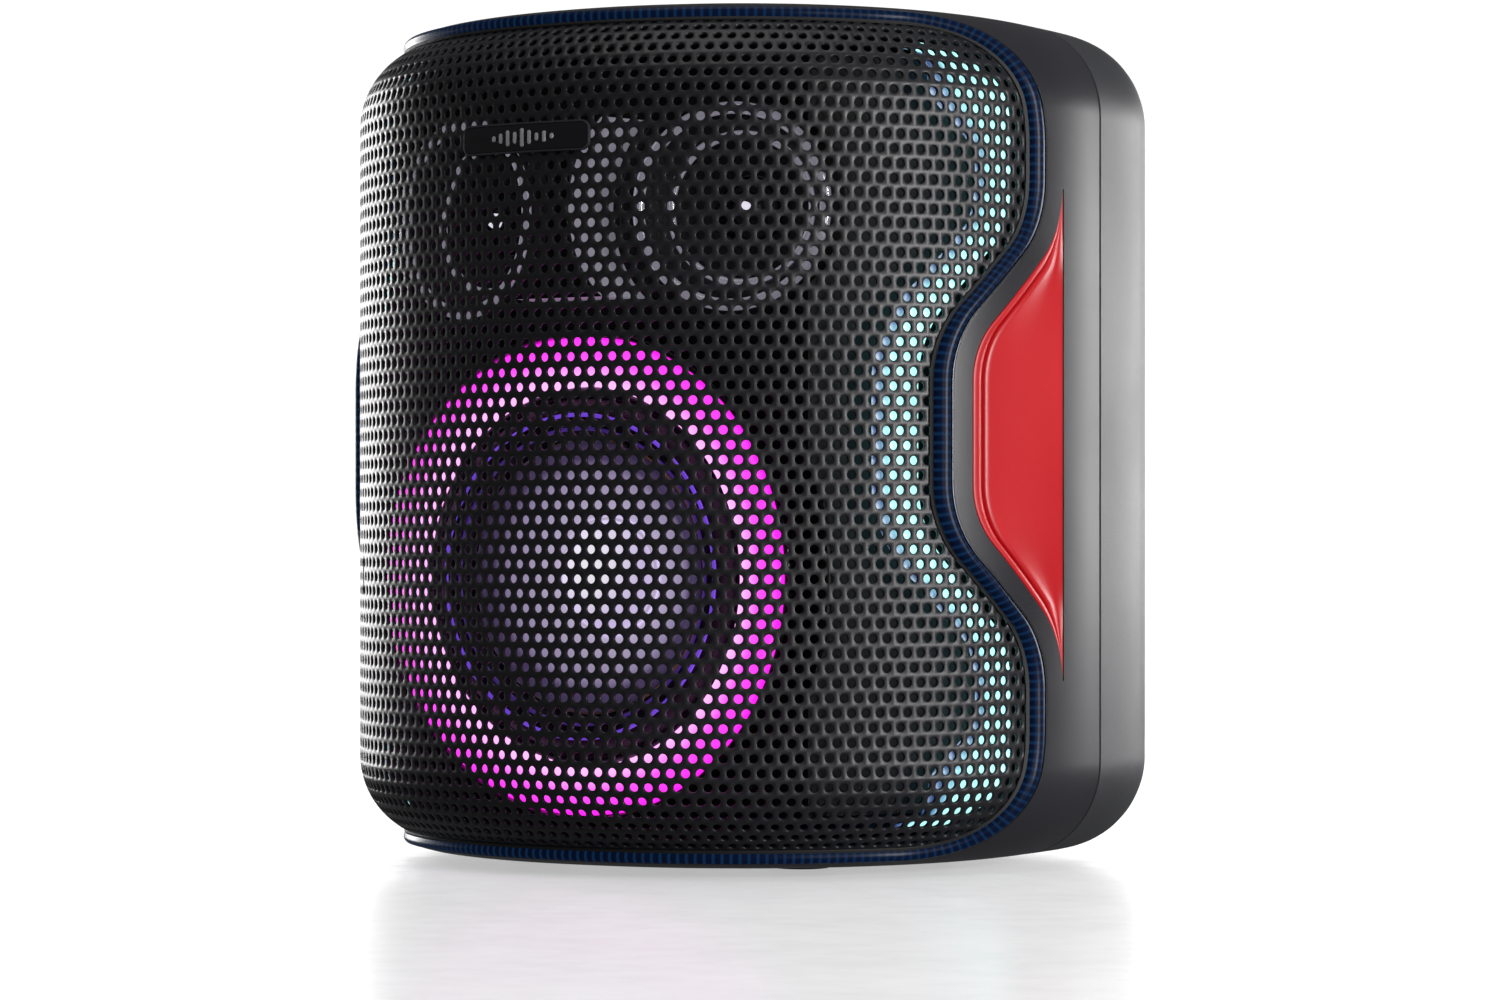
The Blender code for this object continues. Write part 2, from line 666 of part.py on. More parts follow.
def woofer():
    """Heights are towards the front from the baffle's front face."""
    origin = (0.0, BAFFLE_W, WOOFER_Z)
    high = BAFFLE_W - RING_W
    turned("woofer_light_ring",
           ((RING_INNER_RADIUS + 1, 4.0), (RING_INNER_RADIUS, high - 2.5),
            (RING_INNER_RADIUS + 3, high - 0.3), (RING_OUTER_RADIUS - 5, high),
            (RING_OUTER_RADIUS, high - 3), (RING_OUTER_RADIUS, GAP), (83.0, GAP), (83.0, 4.0)),
           RING_LIGHT, origin, FACE_FRONT, 32)
    turned("woofer_basket",
           ((66.0, GAP), (66.0, 3.3), (82.0, 3.3), (82.0, GAP), (70.0, GAP), (49.0, -44.0),
            (49.0, -50.0), (20.2, -50.0), (20.2, -47.5), (46.0, -47.5), (46.5, -43.0)),
           STEEL, origin, FACE_FRONT)
    turned("woofer_surround",
           ((53.3, 2.6), (55.5, 7.4), (60.5, 8.8), (66.5, 4.8), (72.5, 4.6), (72.5, 3.6),
            (65.0, 3.6), (60.0, 7.2), (56.5, 6.0), (54.5, 2.6)),
           RUBBER_BLACK, origin, FACE_FRONT)
    turned("woofer_spider",
           ((19.8, -32.0), (30.0, -30.6), (40.0, -32.0), (50.0, -31.6), (50.0, -32.8),
            (40.0, -33.2), (30.0, -31.8), (19.8, -33.2)),
           COPPER, origin, FACE_FRONT, ROUND_STEPS)
    turned("woofer_magnet",
           ((0, -46.5), (16.4, -46.5), (16.4, -72.0), (19.8, -72.0), (19.8, -50.3),
            (45.0, -50.3), (45.0, -78.0), (0, -78.0)),
           STEEL, origin, FACE_FRONT, ROUND_STEPS)
    turned("woofer_cone",
           ((52.6, 3.4), (52.9, 2.4), (46.0, 1.6), (19.2, -17.0), (17.3, -17.0),
            (17.3, -15.8), (44.5, 3.0)),
           CONE_GREY, origin, FACE_FRONT, ROUND_STEPS)
    turned("woofer_dust_cap",
           ((0, -3.6), (8.0, -4.4), (15.5, -7.2), (21.0, -12.0), (20.4, -12.7), (0, -8.0)),
           CONE_GREY, origin, FACE_FRONT, ROUND_STEPS)
    turned("woofer_voice_coil",
           ((17.3, -17.4), (18.9, -17.4), (18.9, -66.0), (17.3, -66.0)),
           COPPER, origin, FACE_FRONT, ROUND_STEPS)


def tweeter(side, label):
    origin, turn = tweeter_place(side)
    turned("tweeter_horn_" + label,
           ((13.8, -21.0), (17.0, -17.5), (28.7, -10.5), (38.0, 2.0), (TWEETER_RADIUS, 1.0),
            (TWEETER_RADIUS, -8.0), (36.0, -22.5), (13.8, -22.5)),
           INNER_BLACK, origin, turn)
    turned("tweeter_dome_" + label,
           ((0, -14.2), (7.5, -16.0), (13.4, -22.2), (0, -22.2)),
           CHROME, origin, turn, SMALL_STEPS)
    turned("tweeter_magnet_" + label,
           ((0, -22.8), (28.0, -22.8), (28.0, -43.0), (0, -43.0)),
           STEEL, origin, turn, SMALL_STEPS)


def centre_bar():
    """Upright between the tweeters, hollowed on both sides to follow their horns."""
    back = BAFFLE_W - GAP
    rows = []
    for z in np.linspace(-CENTRE_BAR_TALL / 2, CENTRE_BAR_TALL / 2, 11):
        half = CENTRE_BAR_HOLLOW_U - math.sqrt(TWEETER_RADIUS ** 2 - z ** 2)
        wide = half + CENTRE_BAR_SPREAD
        rows.append([(-half, CENTRE_BAR_W, TWEETER_Z + z), (half, CENTRE_BAR_W, TWEETER_Z + z),
                     (wide, back, TWEETER_Z + z), (-wide, back, TWEETER_Z + z)])
    middle = (CENTRE_BAR_W + back) / 2
    points, faces = capped_solid(rows, (0.0, middle, rows[0][0][2]), (0.0, middle, rows[-1][0][2]))
    design_mesh("centre_bar", points, faces, CONE_GREY)


# ---------------------------------------------------------------- top controls

def button_places():
    middle = (len(BUTTON_NAMES) - 1) / 2
    return [((index - middle) * BUTTON_PITCH, name) for index, name in enumerate(BUTTON_NAMES)]


def control_panel():
    top = CASE_TOP_Z - PANEL_SUNK
    outline = rounded_rectangle(PANEL_LENGTH, PANEL_WIDTH, 8.0)
    plate = prism("control_panel", outline, top - PANEL_THICKNESS, top, GLOSS_BLACK,
                  (0.0, PANEL_W, 0.0))
    holes = []
    for u, name in button_places():
        radius = BUTTON_RADIUS + GAP
        hole = turned(name + "_hole", ((0, -6), (radius, -6), (radius, 6), (0, 6)), GLOSS_BLACK,
                      (u, PANEL_W, top), steps=SMALL_STEPS)
        holes.append(hole)
    cut(plate, *holes)
    below = -PANEL_THICKNESS - 2 * GAP
    for u, name in button_places():
        turned(name, ((0, 0.7), (BUTTON_RADIUS - 1.2, 0.9), (BUTTON_RADIUS, 0.3),
                      (BUTTON_RADIUS, below), (BUTTON_RADIUS + 1.8, below),
                      (BUTTON_RADIUS + 1.8, below - 1.2), (0, below - 1.2)),
               RUBBER_BLACK, (u, PANEL_W, top), steps=SMALL_STEPS)
    block("button_board", (PANEL_LENGTH - 10, 22.0, 1.6), (0.0, PANEL_W, top - 9.0), BOARD_GREEN)


# ---------------------------------------------------------------- rear and inside

def socket(name, sizes, finish):
    """A rectangular socket body with a blind mouth; returns the cutter for its seat."""
    u, width, height, mouth_width, mouth_height = sizes
    front_w, rear_w = BAY_FLOOR_W - SOCKET_DEPTH, BAY_FLOOR_W + BAY_WALL + SOCKET_PROUD
    depth, middle = rear_w - front_w, (front_w + rear_w) / 2
    body = block(name, (width, depth, height), (u, middle, SOCKET_Z), finish)
    cut(body, block(name + "_mouth", (mouth_width, depth, mouth_height),
                    (u, middle + SOCKET_FLOOR, SOCKET_Z), finish))
    return block(name + "_hole", (width + 2 * GAP, 2 * depth, height + 2 * GAP),
                 (u, BAY_FLOOR_W, SOCKET_Z), finish)


def jack(name, u, radius, bore):
    """A round socket with a bore right through; returns the cutter for its seat."""
    depth = SOCKET_DEPTH + BAY_WALL + SOCKET_PROUD
    turned(name, ((bore, 0.0), (radius, 0.0), (radius, depth), (bore, depth)),
           INNER_BLACK, (u, BAY_FLOOR_W - SOCKET_DEPTH, SOCKET_Z), FACE_REAR, SMALL_STEPS)
    wide = radius + GAP
    return turned(name + "_hole", ((0, -depth), (wide, -depth), (wide, depth), (0, depth)),
                  INNER_BLACK, (u, BAY_FLOOR_W, SOCKET_Z), FACE_REAR, SMALL_STEPS)


def jack_bay():
    bay = open_box("jack_bay", BAY_HALF_WIDTH, BAY_LOW_Z, BAY_HIGH_Z, BAY_FLOOR_W,
                   BAY_MOUTH_W, BAY_WALL, INNER_BLACK)
    holes = [socket("ac_inlet", MAINS_INLET, INNER_BLACK), socket("usb_port", USB_SOCKET, STEEL)]
    holes += [jack(*sizes) for sizes in JACKS]
    cut(bay, *holes)


def port_cover():
    """A flap that hinges down and out about its lower edge."""
    half_width = BAY_HALF_WIDTH - BAY_WALL - GAP
    low = BAY_LOW_Z + BAY_WALL + 2 * GAP - COVER_AXIS_Z
    high = BAY_HIGH_Z - BAY_WALL - 2 * GAP - COVER_AXIS_Z
    half = COVER_THICKNESS / 2
    outline = ((-half_width, -half), (half_width, -half), (half_width, half), (-half_width, half))
    prism("port_cover", outline, low, high, RUBBER_BLACK, (0.0, COVER_AXIS_W, COVER_AXIS_Z))


def bass_port():
    turned("bass_port",
           ((PORT_RADIUS, 0.0), (PORT_RADIUS, 60.0), (PORT_RADIUS + 2, 66.0),
            (PORT_RADIUS + 6, 68.3), (PORT_RADIUS + MOUTH_FLANGE, 68.3),
            (PORT_RADIUS + MOUTH_FLANGE, 65.3),
            (PORT_RADIUS + 2.2, 58.0), (PORT_RADIUS + 2.2, 0.0)),
           INNER_BLACK, (0.0, REAR_W - 68.8, PORT_Z), FACE_REAR)


def inside():
    block("battery_pack", (116.0, 48.0, 40.0), (0.0, 186.0, 30.0), BATTERY_BLUE, 2.0)
    block("power_supply", (46.0, 66.0, 34.0), (-94.0, 186.0, 28.0), BOARD_GREEN, 1.5)
    block("main_board", (118.0, 1.6, 54.0), (0.0, 228.0, 85.0), BOARD_GREEN)
    fins, pitch, thick, tall, base = 7, 6.0, 2.2, 22.0, 5.0
    outline = [(0.0, 0.0), (fins * pitch - pitch + thick, 0.0)]
    for k in range(fins - 1, -1, -1):
        outline += [(k * pitch + thick, base + tall), (k * pitch, base + tall)]
        if k:
            outline += [(k * pitch, base), (k * pitch - pitch + thick, base)]
    prism("amplifier_heat_sink", outline, 0.0, 60.0, ALUMINIUM, (74.0, 170.0, 14.0))


def feet_and_screws():
    for index, (u, w) in enumerate(FOOT_PLACES, 1):
        turned("foot_%d" % index, ((0, 0.0), (FOOT_RADIUS - 1, 0.0), (FOOT_RADIUS, 1.0),
                                   (FOOT_RADIUS, FOOT_HEIGHT - GAP), (0, FOOT_HEIGHT - GAP)),
               RUBBER_BLACK, (u, w, 0.0), steps=SMALL_STEPS)
    for index, (u, z) in enumerate(SCREW_PLACES, 1):
        turned("case_screw_%d" % index, ((0, -18.0), (1.7, -18.0), (1.7, -2.4), (3.7, -2.4),
                                         (3.7, -0.6), (1.4, 0.0), (0, -1.2)),
               STEEL, (u, REAR_W - 5.0, z), FACE_REAR, 10)


def main():
    clear_scene()
    front_shell()
    rear_shell()
    side_insert("side_insert_left", True)
    side_insert("side_insert_right", False)
    light_guide()
    grille()
    badge_plate()
    side_light_bar("side_light_bar_left", True)
    side_light_bar("side_light_bar_right", False)
    baffle()
    woofer()
    tweeter(-1, "left")
    tweeter(1, "right")
    centre_bar()
    control_panel()
    jack_bay()
    port_cover()
    open_box("carry_grip", GRIP_HALF_WIDTH, GRIP_LOW_Z, GRIP_HIGH_Z, GRIP_FLOOR_W,
             BAY_MOUTH_W, BAY_WALL, INNER_BLACK)
    bass_port()
    inside()
    feet_and_screws()


main()
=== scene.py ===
"""Looks of the party speaker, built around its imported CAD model.

The shapes are worked out in millimetres as (u, w, z): u to the right, w back from the
grille's front-most line, z up from the floor. The skin is unrolled as (s, v): s along the
plan from the front centre, v up the front. Objects are placed in metres, as the CAD is.
"""

import math

import bmesh
import bpy
import numpy as np
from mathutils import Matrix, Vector


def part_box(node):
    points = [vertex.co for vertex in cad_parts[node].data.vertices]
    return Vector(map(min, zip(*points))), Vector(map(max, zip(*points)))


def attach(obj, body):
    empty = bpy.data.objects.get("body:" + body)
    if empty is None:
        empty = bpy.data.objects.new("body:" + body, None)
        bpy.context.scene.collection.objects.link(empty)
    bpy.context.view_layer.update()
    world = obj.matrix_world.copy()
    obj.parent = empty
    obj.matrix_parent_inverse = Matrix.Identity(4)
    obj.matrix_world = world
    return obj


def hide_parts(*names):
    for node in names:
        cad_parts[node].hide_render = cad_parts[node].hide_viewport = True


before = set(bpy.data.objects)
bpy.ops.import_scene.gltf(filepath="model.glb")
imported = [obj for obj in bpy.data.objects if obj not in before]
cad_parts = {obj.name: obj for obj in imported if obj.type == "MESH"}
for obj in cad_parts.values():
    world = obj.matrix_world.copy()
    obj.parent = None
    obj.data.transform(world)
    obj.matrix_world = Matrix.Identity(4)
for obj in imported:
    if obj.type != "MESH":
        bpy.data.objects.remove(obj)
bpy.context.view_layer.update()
BODY = "case"


def low_high(node):
    """A CAD node's box in millimetres."""
    return [np.array(corner) * 1000 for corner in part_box(node)]


MID_W = -low_high("grille")[0][1]          # w of the object's origin
CASE_LOW, CASE_HIGH = (corner[2] for corner in low_high("front_shell"))
HALF_WIDTH = low_high("front_shell")[1][0]
REAR_W = low_high("rear_shell")[1][1] + MID_W
MID_Z = (CASE_LOW + CASE_HIGH) / 2
EDGE = 38.0                 # roundover along the top and bottom
LOW_EDGE, HIGH_EDGE = CASE_LOW + EDGE, CASE_HIGH - EDGE
PROUD = 4.0                 # the skin stands this far outside the grille
WALL = 3.0
SEAM_W = 168.0
FRONT_DEPTH = 158.6
PLAN_HALF = HALF_WIDTH - PROUD
REAR_DEPTH = REAR_W - FRONT_DEPTH - PROUD

OPENING_SIDE, OPENING_TOP, OPENING_CORNER = 217.6, 340.7, 60.0
NOTCH_S, NOTCH_V, NOTCH_RADIUS = 169.3, 169.0, 40.0
NOTCH_INNER, NOTCH_OUTER = 36.0, 81.5
END_RATIO = 0.55            # pieces inside the opening sit closer to its top and bottom

HOLE_PITCH_S, HOLE_PITCH_V, HOLE_RADIUS = 5.724, 5.595, 1.78
HOLE_ROW_V = 130.42         # height of one row of holes
SHEET = 1.2

WOOFER_Z = (low_high("woofer_light_ring")[0][2] + low_high("woofer_light_ring")[1][2]) / 2
BAFFLE_W = 46.0
RING_W = 33.0               # front of the lit ring round the woofer
TWEETER_RADIUS = 46.0
BAR_HOLLOW_U, BAR_SPREAD = 50.0, 6.0        # hollowed sides of the upright bar
GLOW_OUTER, GLOW_INNER, GLOW_END_S = 9.5, 26.0, 169.0   # side bars: insets, limit at their ends
PANEL_LENGTH, PANEL_WIDTH, PANEL_W = 146.0, 34.0, 108.0     # top panel and its middle
VIEW_TURN = 32              # degrees that the backdrop is turned to face the camera
TWEETER_U, TWEETER_W, TWEETER_Z, TWEETER_TOE = 62.0, 50.0, 255.7, math.radians(14)
PORT_Z = (low_high("bass_port")[0][2] + low_high("bass_port")[1][2]) / 2


# ---------------------------------------------------------------- materials

class Nodes:
    """A material's node tree, with short ways to add what the finishes below use."""

    def __init__(self, name, colour, roughness, metallic=0.0, **sockets):
        self.material = bpy.data.materials.new(name)
        self.material.use_nodes = True
        self.tree = self.material.node_tree
        self.shader = self.tree.nodes["Principled BSDF"]
        self.place = self.tree.nodes.new("ShaderNodeTexCoord").outputs["Object"]
        self.shader.inputs["Base Color"].default_value = (*colour, 1)
        self.shader.inputs["Roughness"].default_value = roughness
        self.shader.inputs["Metallic"].default_value = metallic
        for key, value in sockets.items():
            self.shader.inputs[key.replace("_", " ")].default_value = value
        self.colour, self.roughness = colour, roughness

    def add(self, kind, values, links):
        node = self.tree.nodes.new(kind)
        for key, value in values.items():
            setattr(node, key, value)
        for key, value in links.items():
            if isinstance(value, bpy.types.NodeSocket):
                self.tree.links.new(value, node.inputs[key])
            else:
                node.inputs[key].default_value = value
        return node

    def noise(self, scale, detail=3.0, stretch=None):
        where = self.place
        if stretch:
            where = self.add("ShaderNodeMapping", {}, {"Vector": where, "Scale": stretch}).outputs[0]
        return self.add("ShaderNodeTexNoise", {}, {"Vector": where, "Scale": scale,
                                                   "Detail": detail}).outputs["Fac"]

    def spread(self, value, low, high, start=0.3, end=0.7):
        return self.add("ShaderNodeMapRange", {}, {"Value": value, "From Min": start,
                                                   "From Max": end, "To Min": low,
                                                   "To Max": high}).outputs[0]

    def mix(self, share, first, second):
        node = self.add("ShaderNodeMix", {"data_type": "RGBA"}, {0: share})
        for index, value in ((6, first), (7, second)):
            if isinstance(value, bpy.types.NodeSocket):
                self.tree.links.new(value, node.inputs[index])
            else:
                node.inputs[index].default_value = (*value, 1)
        return node.outputs[2]

    def link(self, socket, name):
        self.tree.links.new(socket, self.shader.inputs[name])

    def grain(self, scale, bump, rough_spread=0.06, shade=0.12, stretch=None, distance=0.0002):
        """Fine grain in the surface, cloudy wear in its colour and roughness."""
        fine = self.noise(scale, stretch=stretch)
        cloud = self.noise(14.0, 5.0)
        dark = tuple(c * (1 - shade) for c in self.colour)
        light = tuple(min(c * (1 + shade), 1.0) for c in self.colour)
        self.link(self.mix(self.spread(cloud, 0, 1), dark, light), "Base Color")
        both = self.add("ShaderNodeMath", {"operation": "ADD"}, {0: fine, 1: cloud}).outputs[0]
        self.link(self.spread(both, self.roughness - rough_spread,
                              self.roughness + rough_spread, 0.7, 1.3), "Roughness")
        relief = self.add("ShaderNodeBump", {}, {"Height": fine, "Strength": bump,
                                                 "Distance": distance})
        self.link(relief.outputs[0], "Normal")
        return self


def finish(name, colour, roughness, metallic=0.0, scale=2500.0, bump=0.25, shade=0.12,
           rough_spread=0.06, stretch=None, **sockets):
    nodes = Nodes(name, colour, roughness, metallic, **sockets)
    return nodes.grain(scale, bump, rough_spread, shade, stretch).material


def painted_glow(name, colour, glow, strength):
    """A glowing finish, a little uneven, that paints highlights on parts that are no lamps."""
    nodes = Nodes(name, colour, 0.35, Emission_Color=(*glow, 1))
    nodes.grain(1200.0, 0.1, shade=0.06)
    uneven = nodes.noise(90.0, 2.0)
    nodes.link(nodes.spread(uneven, strength * 0.7, strength), "Emission Strength")
    return nodes.material


def radial(name, colour, roughness, centre, stops, strength, metallic=0.1):
    """Glows most at an axis through centre (metres, along Y); stops are (radius, colour). On the
    woofer's lit ring this is the lamp's own light; on the cone and its cap it is painted light.
    """
    nodes = Nodes(name, colour, roughness, metallic)
    nodes.grain(1400.0, 0.2)
    flat = nodes.add("ShaderNodeMapping", {}, {"Vector": nodes.place, "Scale": (1, 0, 1),
                                               "Location": (-centre[0], 0, -centre[2])})
    away = nodes.add("ShaderNodeVectorMath", {"operation": "LENGTH"}, {0: flat.outputs[0]})
    ramp = nodes.add("ShaderNodeValToRGB", {}, {})
    reach = stops[-1][0]
    share = nodes.spread(away.outputs["Value"], 0, 1, 0.0, reach * 0.001)
    nodes.tree.links.new(share, ramp.inputs[0])
    elements = ramp.color_ramp.elements
    for index, (radius, lit) in enumerate(stops):
        element = elements[index] if index < 2 else elements.new(radius / reach)
        element.position = radius / reach
        element.color = (*lit, 1)
    nodes.link(ramp.outputs[0], "Emission Color")
    nodes.shader.inputs["Emission Strength"].default_value = strength
    return nodes.material


def guide_finish():
    """Dark blue see-through plastic with a faint row of lamps along it (UV x, in mm)."""
    nodes = Nodes("guide_blue", (0.002, 0.006, 0.02), 0.3, Specular_IOR_Level=0.12)
    nodes.grain(800.0, 0.04, 0.03, 0.2)
    uv = nodes.add("ShaderNodeUVMap", {"uv_map": "along"}, {}).outputs[0]
    along = nodes.add("ShaderNodeSeparateXYZ", {}, {0: uv}).outputs[0]
    turn = nodes.add("ShaderNodeMath", {"operation": "MULTIPLY"}, {0: along, 1: math.tau / 3.4})
    wave = nodes.add("ShaderNodeMath", {"operation": "SINE"}, {0: turn.outputs[0]}).outputs[0]
    lamp = nodes.spread(wave, 0, 1, 0.0, 1.0)
    nodes.link(nodes.mix(lamp, (0.001, 0.006, 0.03), (0.008, 0.05, 0.15)), "Emission Color")
    nodes.shader.inputs["Emission Strength"].default_value = 0.35
    return nodes.material


def bar_finish():
    """Side bar: cyan-white along its outer side, blue along its inner side (UV y, 0 to 1)."""
    nodes = Nodes("side_light", (0.7, 0.9, 0.92), 0.35)
    nodes.grain(1200.0, 0.1, shade=0.06)
    uv = nodes.add("ShaderNodeUVMap", {"uv_map": "along"}, {}).outputs[0]
    across = nodes.add("ShaderNodeSeparateXYZ", {}, {0: uv}).outputs[1]
    share = nodes.spread(across, 0, 1, 0.12, 0.42)
    uneven = nodes.spread(nodes.noise(60.0, 2.0), 0.8, 1.0)
    lit = nodes.mix(share, (0.02, 0.10, 0.55), (0.42, 1.0, 0.94))
    nodes.link(lit, "Emission Color")
    power = nodes.spread(share, 0.35, 1.4, 0, 1)
    both = nodes.add("ShaderNodeMath", {"operation": "MULTIPLY"}, {0: power, 1: uneven})
    nodes.link(both.outputs[0], "Emission Strength")
    return nodes.material


CASE_SKIN = finish("case_satin", (0.026, 0.026, 0.031), 0.33, scale=3200, bump=0.22,
                   Specular_IOR_Level=0.36)
REAR_SKIN = finish("rear_satin", (0.042, 0.043, 0.048), 0.4, scale=2600, bump=0.5)
GRILLE_PAINT = finish("grille_paint", (0.022, 0.022, 0.025), 0.38, 0.2, scale=4000, bump=0.2,
                      shade=0.15)
INSERT_RED = finish("insert_red", (0.6, 0.006, 0.012), 0.34, scale=1800, bump=0.12, shade=0.08,
                    Specular_IOR_Level=0.42, Coat_Weight=0.06, Coat_Roughness=0.15)
GLOSS_BLACK = finish("gloss_black", (0.008, 0.008, 0.01), 0.12, scale=700, bump=0.04,
                     rough_spread=0.03, Coat_Weight=0.2, Coat_Roughness=0.05)
MATTE_BLACK = finish("matte_black", (0.015, 0.015, 0.017), 0.6, scale=2500, bump=0.4)
RUBBER = finish("rubber_black", (0.018, 0.018, 0.019), 0.72, scale=1500, bump=0.5)
KEY_RUBBER = finish("key_rubber", (0.03, 0.03, 0.033), 0.5, scale=2600, bump=0.4)
# Chrome, with a faint lilac glow on top of it: a painted glint.
CHROME_PAINTED_GLINT = finish("chrome_painted_glint", (0.75, 0.74, 0.79), 0.2, 0.9, scale=900, bump=0.05,
                rough_spread=0.05, Emission_Color=(0.68, 0.66, 0.8, 1), Emission_Strength=0.22)
BRIGHT_EDGE = finish("bright_edge", (0.12, 0.12, 0.13), 0.3, 0.8, scale=1200, bump=0.08)
STEEL = finish("zinc_steel", (0.42, 0.42, 0.44), 0.34, 1.0, scale=1500, bump=0.2,
               stretch=(1, 1, 12))
WOOFER_AXIS = (0.0, 0.0, WOOFER_Z * 0.001)
# Painted light: the cone glows brightest at its middle and fades to black at its edge, and the dust
# cap carries a painted highlight set a little up and to the left of the axis.
CONE_PAINTED_GLOW = radial("cone_metal", (0.55, 0.5, 0.66), 0.45, WOOFER_AXIS,
                    ((0, (0.95, 0.9, 1.0)), (24, (0.58, 0.51, 0.68)), (40, (0.36, 0.30, 0.48)),
                     (46, (0.05, 0.03, 0.10)), (54, (0.0, 0.0, 0.01))), 0.62)
CAP_PAINTED_HIGHLIGHT = radial("cap_painted_highlight", (0.7, 0.66, 0.8), 0.4, (-0.005, 0.0, WOOFER_AXIS[2] + 0.004),
                   ((0, (1.0, 1.0, 1.0)), (10, (0.95, 0.9, 1.0)), (23, (0.6, 0.5, 0.78))), 0.8)
# Painted highlight: the tweeters' phase plugs glow pale lilac.
PLUG_PAINTED_HIGHLIGHT = finish("plug_painted_highlight", (0.8, 0.78, 0.86), 0.3, 0.2, scale=1200, bump=0.1,
                    Emission_Color=(0.9, 0.86, 1.0, 1), Emission_Strength=0.8)
DARK_DOME = finish("dark_dome", (0.03, 0.03, 0.035), 0.25, 0.6, scale=1200, bump=0.1)
COPPER = finish("copper_wire", (0.55, 0.26, 0.12), 0.4, 0.9, scale=900, bump=0.6,
                stretch=(1, 1, 14))
CLOTH = finish("spider_cloth", (0.5, 0.28, 0.1), 0.8, scale=1500, bump=0.8)
BOARD = finish("board_green", (0.02, 0.13, 0.055), 0.45, scale=500, bump=0.3, shade=0.3)
BATTERY = finish("battery_wrap", (0.04, 0.1, 0.3), 0.35, scale=300, bump=0.3)
ALLOY = finish("alloy", (0.6, 0.6, 0.62), 0.4, 0.95, scale=1500, bump=0.3, stretch=(14, 1, 1))
# A pale lilac-grey with a faint glow of its own: painted light.
PALE_BAR_PAINTED_GLOW = finish("pale_bar_painted_glow", (0.6, 0.58, 0.66), 0.4, scale=1500, bump=0.15,
                  Emission_Color=(0.62, 0.6, 0.72, 1), Emission_Strength=0.2)
MARK_GREY = finish("mark_grey", (0.72, 0.72, 0.74), 0.35, 0.3, scale=1500, bump=0.1)
MARK_WHITE = finish("mark_white", (0.7, 0.71, 0.73), 0.45, scale=1500, bump=0.1)
GUIDE_BLUE = guide_finish()
BAR_LIGHT = bar_finish()
RING_LIGHT = radial("ring_light", (0.85, 0.3, 0.8), 0.35, WOOFER_AXIS,
                    ((0, (1.0, 0.5, 0.95)), (76, (1.0, 0.42, 0.95)), (84, (1.0, 0.07, 0.84)),
                     (93, (1.0, 0.01, 0.78))), 1.35)
BAFFLE_BLACK = finish("baffle_black", (0.006, 0.006, 0.007), 0.7, scale=1500, bump=0.3)
# Painted highlights: violet glow that stands in for the lit ring's light reflected on the woofer's
# surround roll.
VIOLET_PAINTED_BRIGHT = painted_glow("violet_painted_bright", (0.1, 0.05, 0.3), (0.20, 0.07, 0.85), 0.8)
VIOLET_PAINTED_DIM = painted_glow("violet_painted_dim", (0.1, 0.05, 0.3), (0.16, 0.06, 0.6), 0.25)


# ---------------------------------------------------------------- plan and skin

def plan_curve(count=1600):
    """Right half of the plan, front centre to rear centre: s, u, w and outward normal."""
    front_power, rear_power = 2.087, 4.0
    angle = np.linspace(0.0, math.pi / 2, 6000)
    u = np.concatenate([PLAN_HALF * np.sin(angle) ** (2 / front_power),
                        PLAN_HALF * np.cos(angle[1:]) ** (2 / rear_power)])
    w = np.concatenate([FRONT_DEPTH * (1 - np.cos(angle) ** (2 / front_power)),
                        FRONT_DEPTH + REAR_DEPTH * np.sin(angle[1:]) ** (2 / rear_power)])
    length = np.concatenate([[0.0], np.cumsum(np.hypot(np.diff(u), np.diff(w)))])
    s = np.linspace(0.0, length[-1], count)
    u, w = np.interp(s, length, u), np.interp(s, length, w)
    slope_u, slope_w = np.gradient(u, s), np.gradient(w, s)
    size = np.hypot(slope_u, slope_w)
    return s, u, w, slope_w / size, -slope_u / size


PLAN_S, PLAN_U, PLAN_W, PLAN_NU, PLAN_NW = plan_curve()


def skin(s, v, depth=0.0):
    """Design points at (s, v), this deep under the case's skin; arrays are welcome."""
    s, v, depth = np.broadcast_arrays(*(np.asarray(x, float) for x in (s, v, depth)))
    side, away = np.where(s < 0, -1.0, 1.0), np.abs(s)
    flat = np.clip(v, LOW_EDGE, HIGH_EDGE)
    bend, radius = (v - flat) / EDGE, EDGE - depth
    out = PROUD - depth - radius * (1 - np.cos(bend))
    u = side * (np.interp(away, PLAN_S, PLAN_U) + np.interp(away, PLAN_S, PLAN_NU) * out)
    w = np.interp(away, PLAN_S, PLAN_W) + np.interp(away, PLAN_S, PLAN_NW) * out
    return np.stack([u, w, flat + radius * np.sin(bend)], -1)


def plan_distance(u, w):
    """Signed distance from the plan curve, positive outside."""
    step = 4
    pu, pw, nu, nw = (a[::step] for a in (PLAN_U, PLAN_W, PLAN_NU, PLAN_NW))
    du, dw = np.diff(pu), np.diff(pw)
    square = du ** 2 + dw ** 2
    result = np.empty(len(u))
    for first in range(0, len(u), 4000):
        part = slice(first, first + 4000)
        au, aw = np.abs(u[part])[:, None] - pu[:-1], w[part][:, None] - pw[:-1]
        share = np.clip((au * du + aw * dw) / square, 0, 1)
        ou, ow = au - share * du, aw - share * dw
        gap = ou ** 2 + ow ** 2
        best = gap.argmin(1)
        rows = np.arange(len(best))
        outside = ou[rows, best] * nu[best] + ow[rows, best] * nw[best]
        result[part] = np.sign(outside) * np.sqrt(gap[rows, best])
    return result


def case_distance(points):
    """Signed distance from the case's skin, positive outside."""
    out = plan_distance(points[:, 0], points[:, 1]) - PROUD + EDGE
    up = np.abs(points[:, 2] - MID_Z) - (HIGH_EDGE - MID_Z)
    beyond = np.hypot(np.maximum(out, 0), np.maximum(up, 0))
    return np.minimum(np.maximum(out, up), 0) + beyond - EDGE


